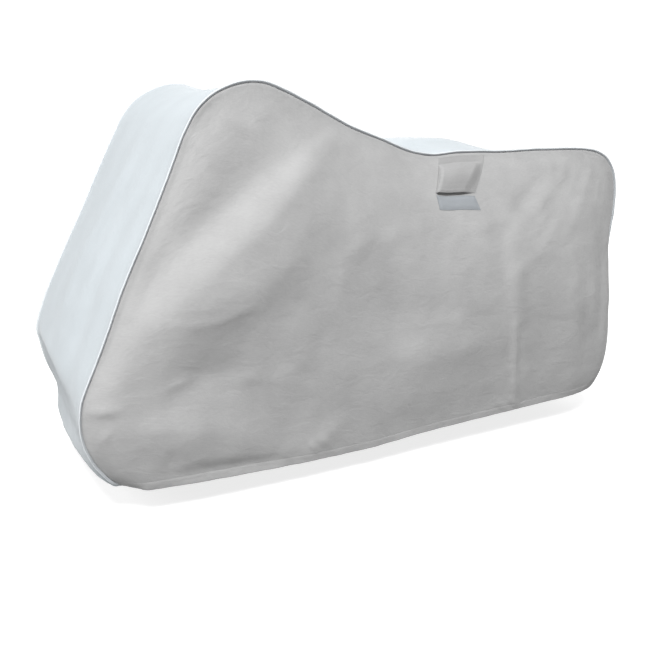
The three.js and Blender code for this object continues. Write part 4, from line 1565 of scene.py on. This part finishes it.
@dataclass
class Studio:
    """A plain pale floor, plain soft light and the camera."""

    floor_size: float = 60.0
    floor_tone: float = 0.38
    glow: tuple[float, float] = (0.8, 1.1)
    glow_reach: tuple[float, float] = (1.2, 4.0)
    room_light: float = 0.3
    backdrop: float = 1.1
    centre: tuple[float, float, float] = (0.48, 0.0, -0.6)
    camera_place: tuple[float, float, float] = (-0.870, -2.423, -0.155)
    camera_pitch: float = math.radians(14.14)
    camera_turn: float = math.radians(29)
    lens: float = 41.22

    lamps = (
        Lamp("key", (-0.3, -0.55, 0.78), 9.0, 2.6, 1270),
        Lamp("front", (-0.9, -0.06, 0.5), 9.0, 4.0, 300),
        Lamp("back", (0.5, 0.85, 0.2), 8.0, 5.0, 420),
    )

    def build(self) -> None:
        """Make the floor, the lights, the world and the camera."""
        self.floor()
        self.lights()
        self.world()
        self.camera()

    def floor(self) -> None:
        """Lay the pale floor that the cover stands over."""
        bpy.ops.object.select_all(action="DESELECT")
        ground = -PEAK_LEVEL * MM
        bpy.ops.mesh.primitive_plane_add(size=self.floor_size, location=(0.5, 0, ground))
        floor = bpy.context.object
        floor.name = "floor"
        material = bpy.data.materials.new("pale floor")
        sheet = NodeSheet(material)
        shader = sheet.nodes["Principled BSDF"]
        shader.inputs["Base Color"].default_value = (*[self.floor_tone] * 3, 1)
        shader.inputs["Roughness"].default_value = 0.9
        shader.inputs["Specular IOR Level"].default_value = 0.1
        place = sheet.add("TexCoord", {}, "Object")
        away = sheet.add("VectorMath", {0: place}, "Value", operation="LENGTH")
        near, far = self.glow_reach
        low, high = self.glow
        fade = {"Value": away, "From Min": near, "From Max": far, "To Min": low, "To Max": high}
        glow = sheet.add("Emission", {"Strength": sheet.add("MapRange", fade, "Result")})
        none = sheet.add("BsdfTransparent", {"Color": (0, 0, 0, 1)})
        both = {0: shader.outputs["BSDF"], 1: sheet.shown(none, glow)}
        sheet.feed(sheet.add("AddShader", both), sheet.nodes["Material Output"].inputs["Surface"])
        floor.data.materials.append(material)

    def lights(self) -> None:
        """Hang the soft lights."""
        for lamp in self.lamps:
            data = bpy.data.lights.new(lamp.name, "AREA")
            data.shape = "SQUARE"
            data.size = lamp.size
            data.energy = lamp.power
            piece = bpy.data.objects.new(lamp.name, data)
            direction = Vector(lamp.way).normalized()
            piece.location = Vector(self.centre) + direction * lamp.distance
            piece.rotation_mode = "QUATERNION"
            piece.rotation_quaternion = direction.to_track_quat("Z", "Y")
            bpy.context.scene.collection.objects.link(piece)

    def world(self) -> None:
        """Fill the room with soft light, white where it shows behind the cover."""
        world = bpy.data.worlds.new("studio")
        bpy.context.scene.world = world
        sheet = NodeSheet(world)
        room = sheet.nodes["Background"]
        room.inputs["Color"].default_value = (1, 1, 1, 1)
        room.inputs["Strength"].default_value = self.room_light
        white = sheet.add("Background", {"Color": (1, 1, 1, 1), "Strength": self.backdrop})
        shown = sheet.shown(room.outputs["Background"], white)
        sheet.feed(shown, sheet.nodes["World Output"].inputs["Surface"])

    def camera(self) -> None:
        """Stand the camera where the photograph was taken from."""
        data = bpy.data.cameras.new("camera")
        data.lens = self.lens
        data.sensor_width = 36
        data.clip_end = 200
        camera = bpy.data.objects.new("camera", data)
        camera.location = self.camera_place
        level = math.cos(self.camera_pitch)
        look = Vector(
            (
                level * math.sin(self.camera_turn),
                level * math.cos(self.camera_turn),
                -math.sin(self.camera_pitch),
            )
        )
        camera.rotation_mode = "QUATERNION"
        camera.rotation_quaternion = look.to_track_quat("-Z", "Y")
        bpy.context.scene.collection.objects.link(camera)
        bpy.context.scene.camera = camera


def cover_finishes(length: float) -> dict[Kind, ClothFinish]:
    """The finish of each kind of piece.

    Args:
        length: the length of the centre panel, in millimetres.

    Returns:
        The finishes by kind.
    """
    grey = (0.292, 0.292, 0.292)
    # The centre cloth's colour is the side grey painted paler, with a slight blue tint: painted
    # light for the stronger light on the top and front.
    grey_with_painted_light = (0.39, 0.423, 0.444)
    elastic = tuple(
        StitchLine(Way.FIRST, at, zigzag=5.0, pitch=5.5)
        for row in (4.5, 18, 31.5, 44.5)
        for at in (row, length - row - 5)
    )
    return {
        Kind.SIDE: ClothFinish("grey side cloth", grey, stitches=stitched(second=(29,))),
        Kind.HOOD: ClothFinish(
            "grey hood cloth", (0.25, 0.25, 0.25), crinkle=0.15,
            stitches=stitched((3, 175), (3, 139)),
        ),
        Kind.CENTRE: ClothFinish(
            "silver centre cloth", grey_with_painted_light, 0.7, mottle=0.04, crinkle=0.2, thread=0.4,
            stitches=elastic,
        ),
        # The tape's inner colour is a painted highlight on its face towards the centre panel and on
        # its top.
        Kind.TAPE: ClothFinish(
            "grey tape", (0.325, 0.34, 0.355), 0.7, crinkle=0.0, rib=0.4,
            stitches=stitched(second=(5.1, 21.5)), inner=(0.52, 0.545, 0.56), painted_highlight_reach=16.8,
        ),
        Kind.LABEL: ClothFinish(
            "blank woven label", (0.225, 0.24, 0.255), 0.6, mottle=0.03, crinkle=0.0,
            rib=0.25, thread=-0.45, stitches=stitched((2, 148), (2, 44), pitch=2.6),
        ),
    }


def main() -> None:
    """Build the cover piece by piece in the order of its making."""
    logging.basicConfig(level=logging.INFO, format="%(name)s: %(message)s")
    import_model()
    bpy.context.scene.view_settings.view_transform = "Standard"
    Studio().build()
    seams = Seams()
    finishes = cover_finishes(seams.length)
    left = SidePanel(Side.LEFT, seams, LEFT_FOLDS, LEFT_CREASES, step=7.3)
    pieces = [
        (left.build(), Kind.SIDE),
        (SidePanel(Side.RIGHT, seams, RIGHT_FOLDS).build(), Kind.SIDE),
        (CentrePanel(seams).build(), Kind.CENTRE),
        (SeamBinding(Side.LEFT, seams).build(), Kind.TAPE),
        (SeamBinding(Side.RIGHT, seams).build(), Kind.TAPE),
    ]
    hood = VentHood(left)
    pieces += [(hood.build(), Kind.HOOD), (BlankLabel(hood).build(), Kind.LABEL)]
    for piece, kind in pieces:
        piece.data.materials.append(finishes[kind].material())
        log.info("%s: %d faces", piece.name, len(piece.data.polygons))


if __name__ == "__main__":
    main()
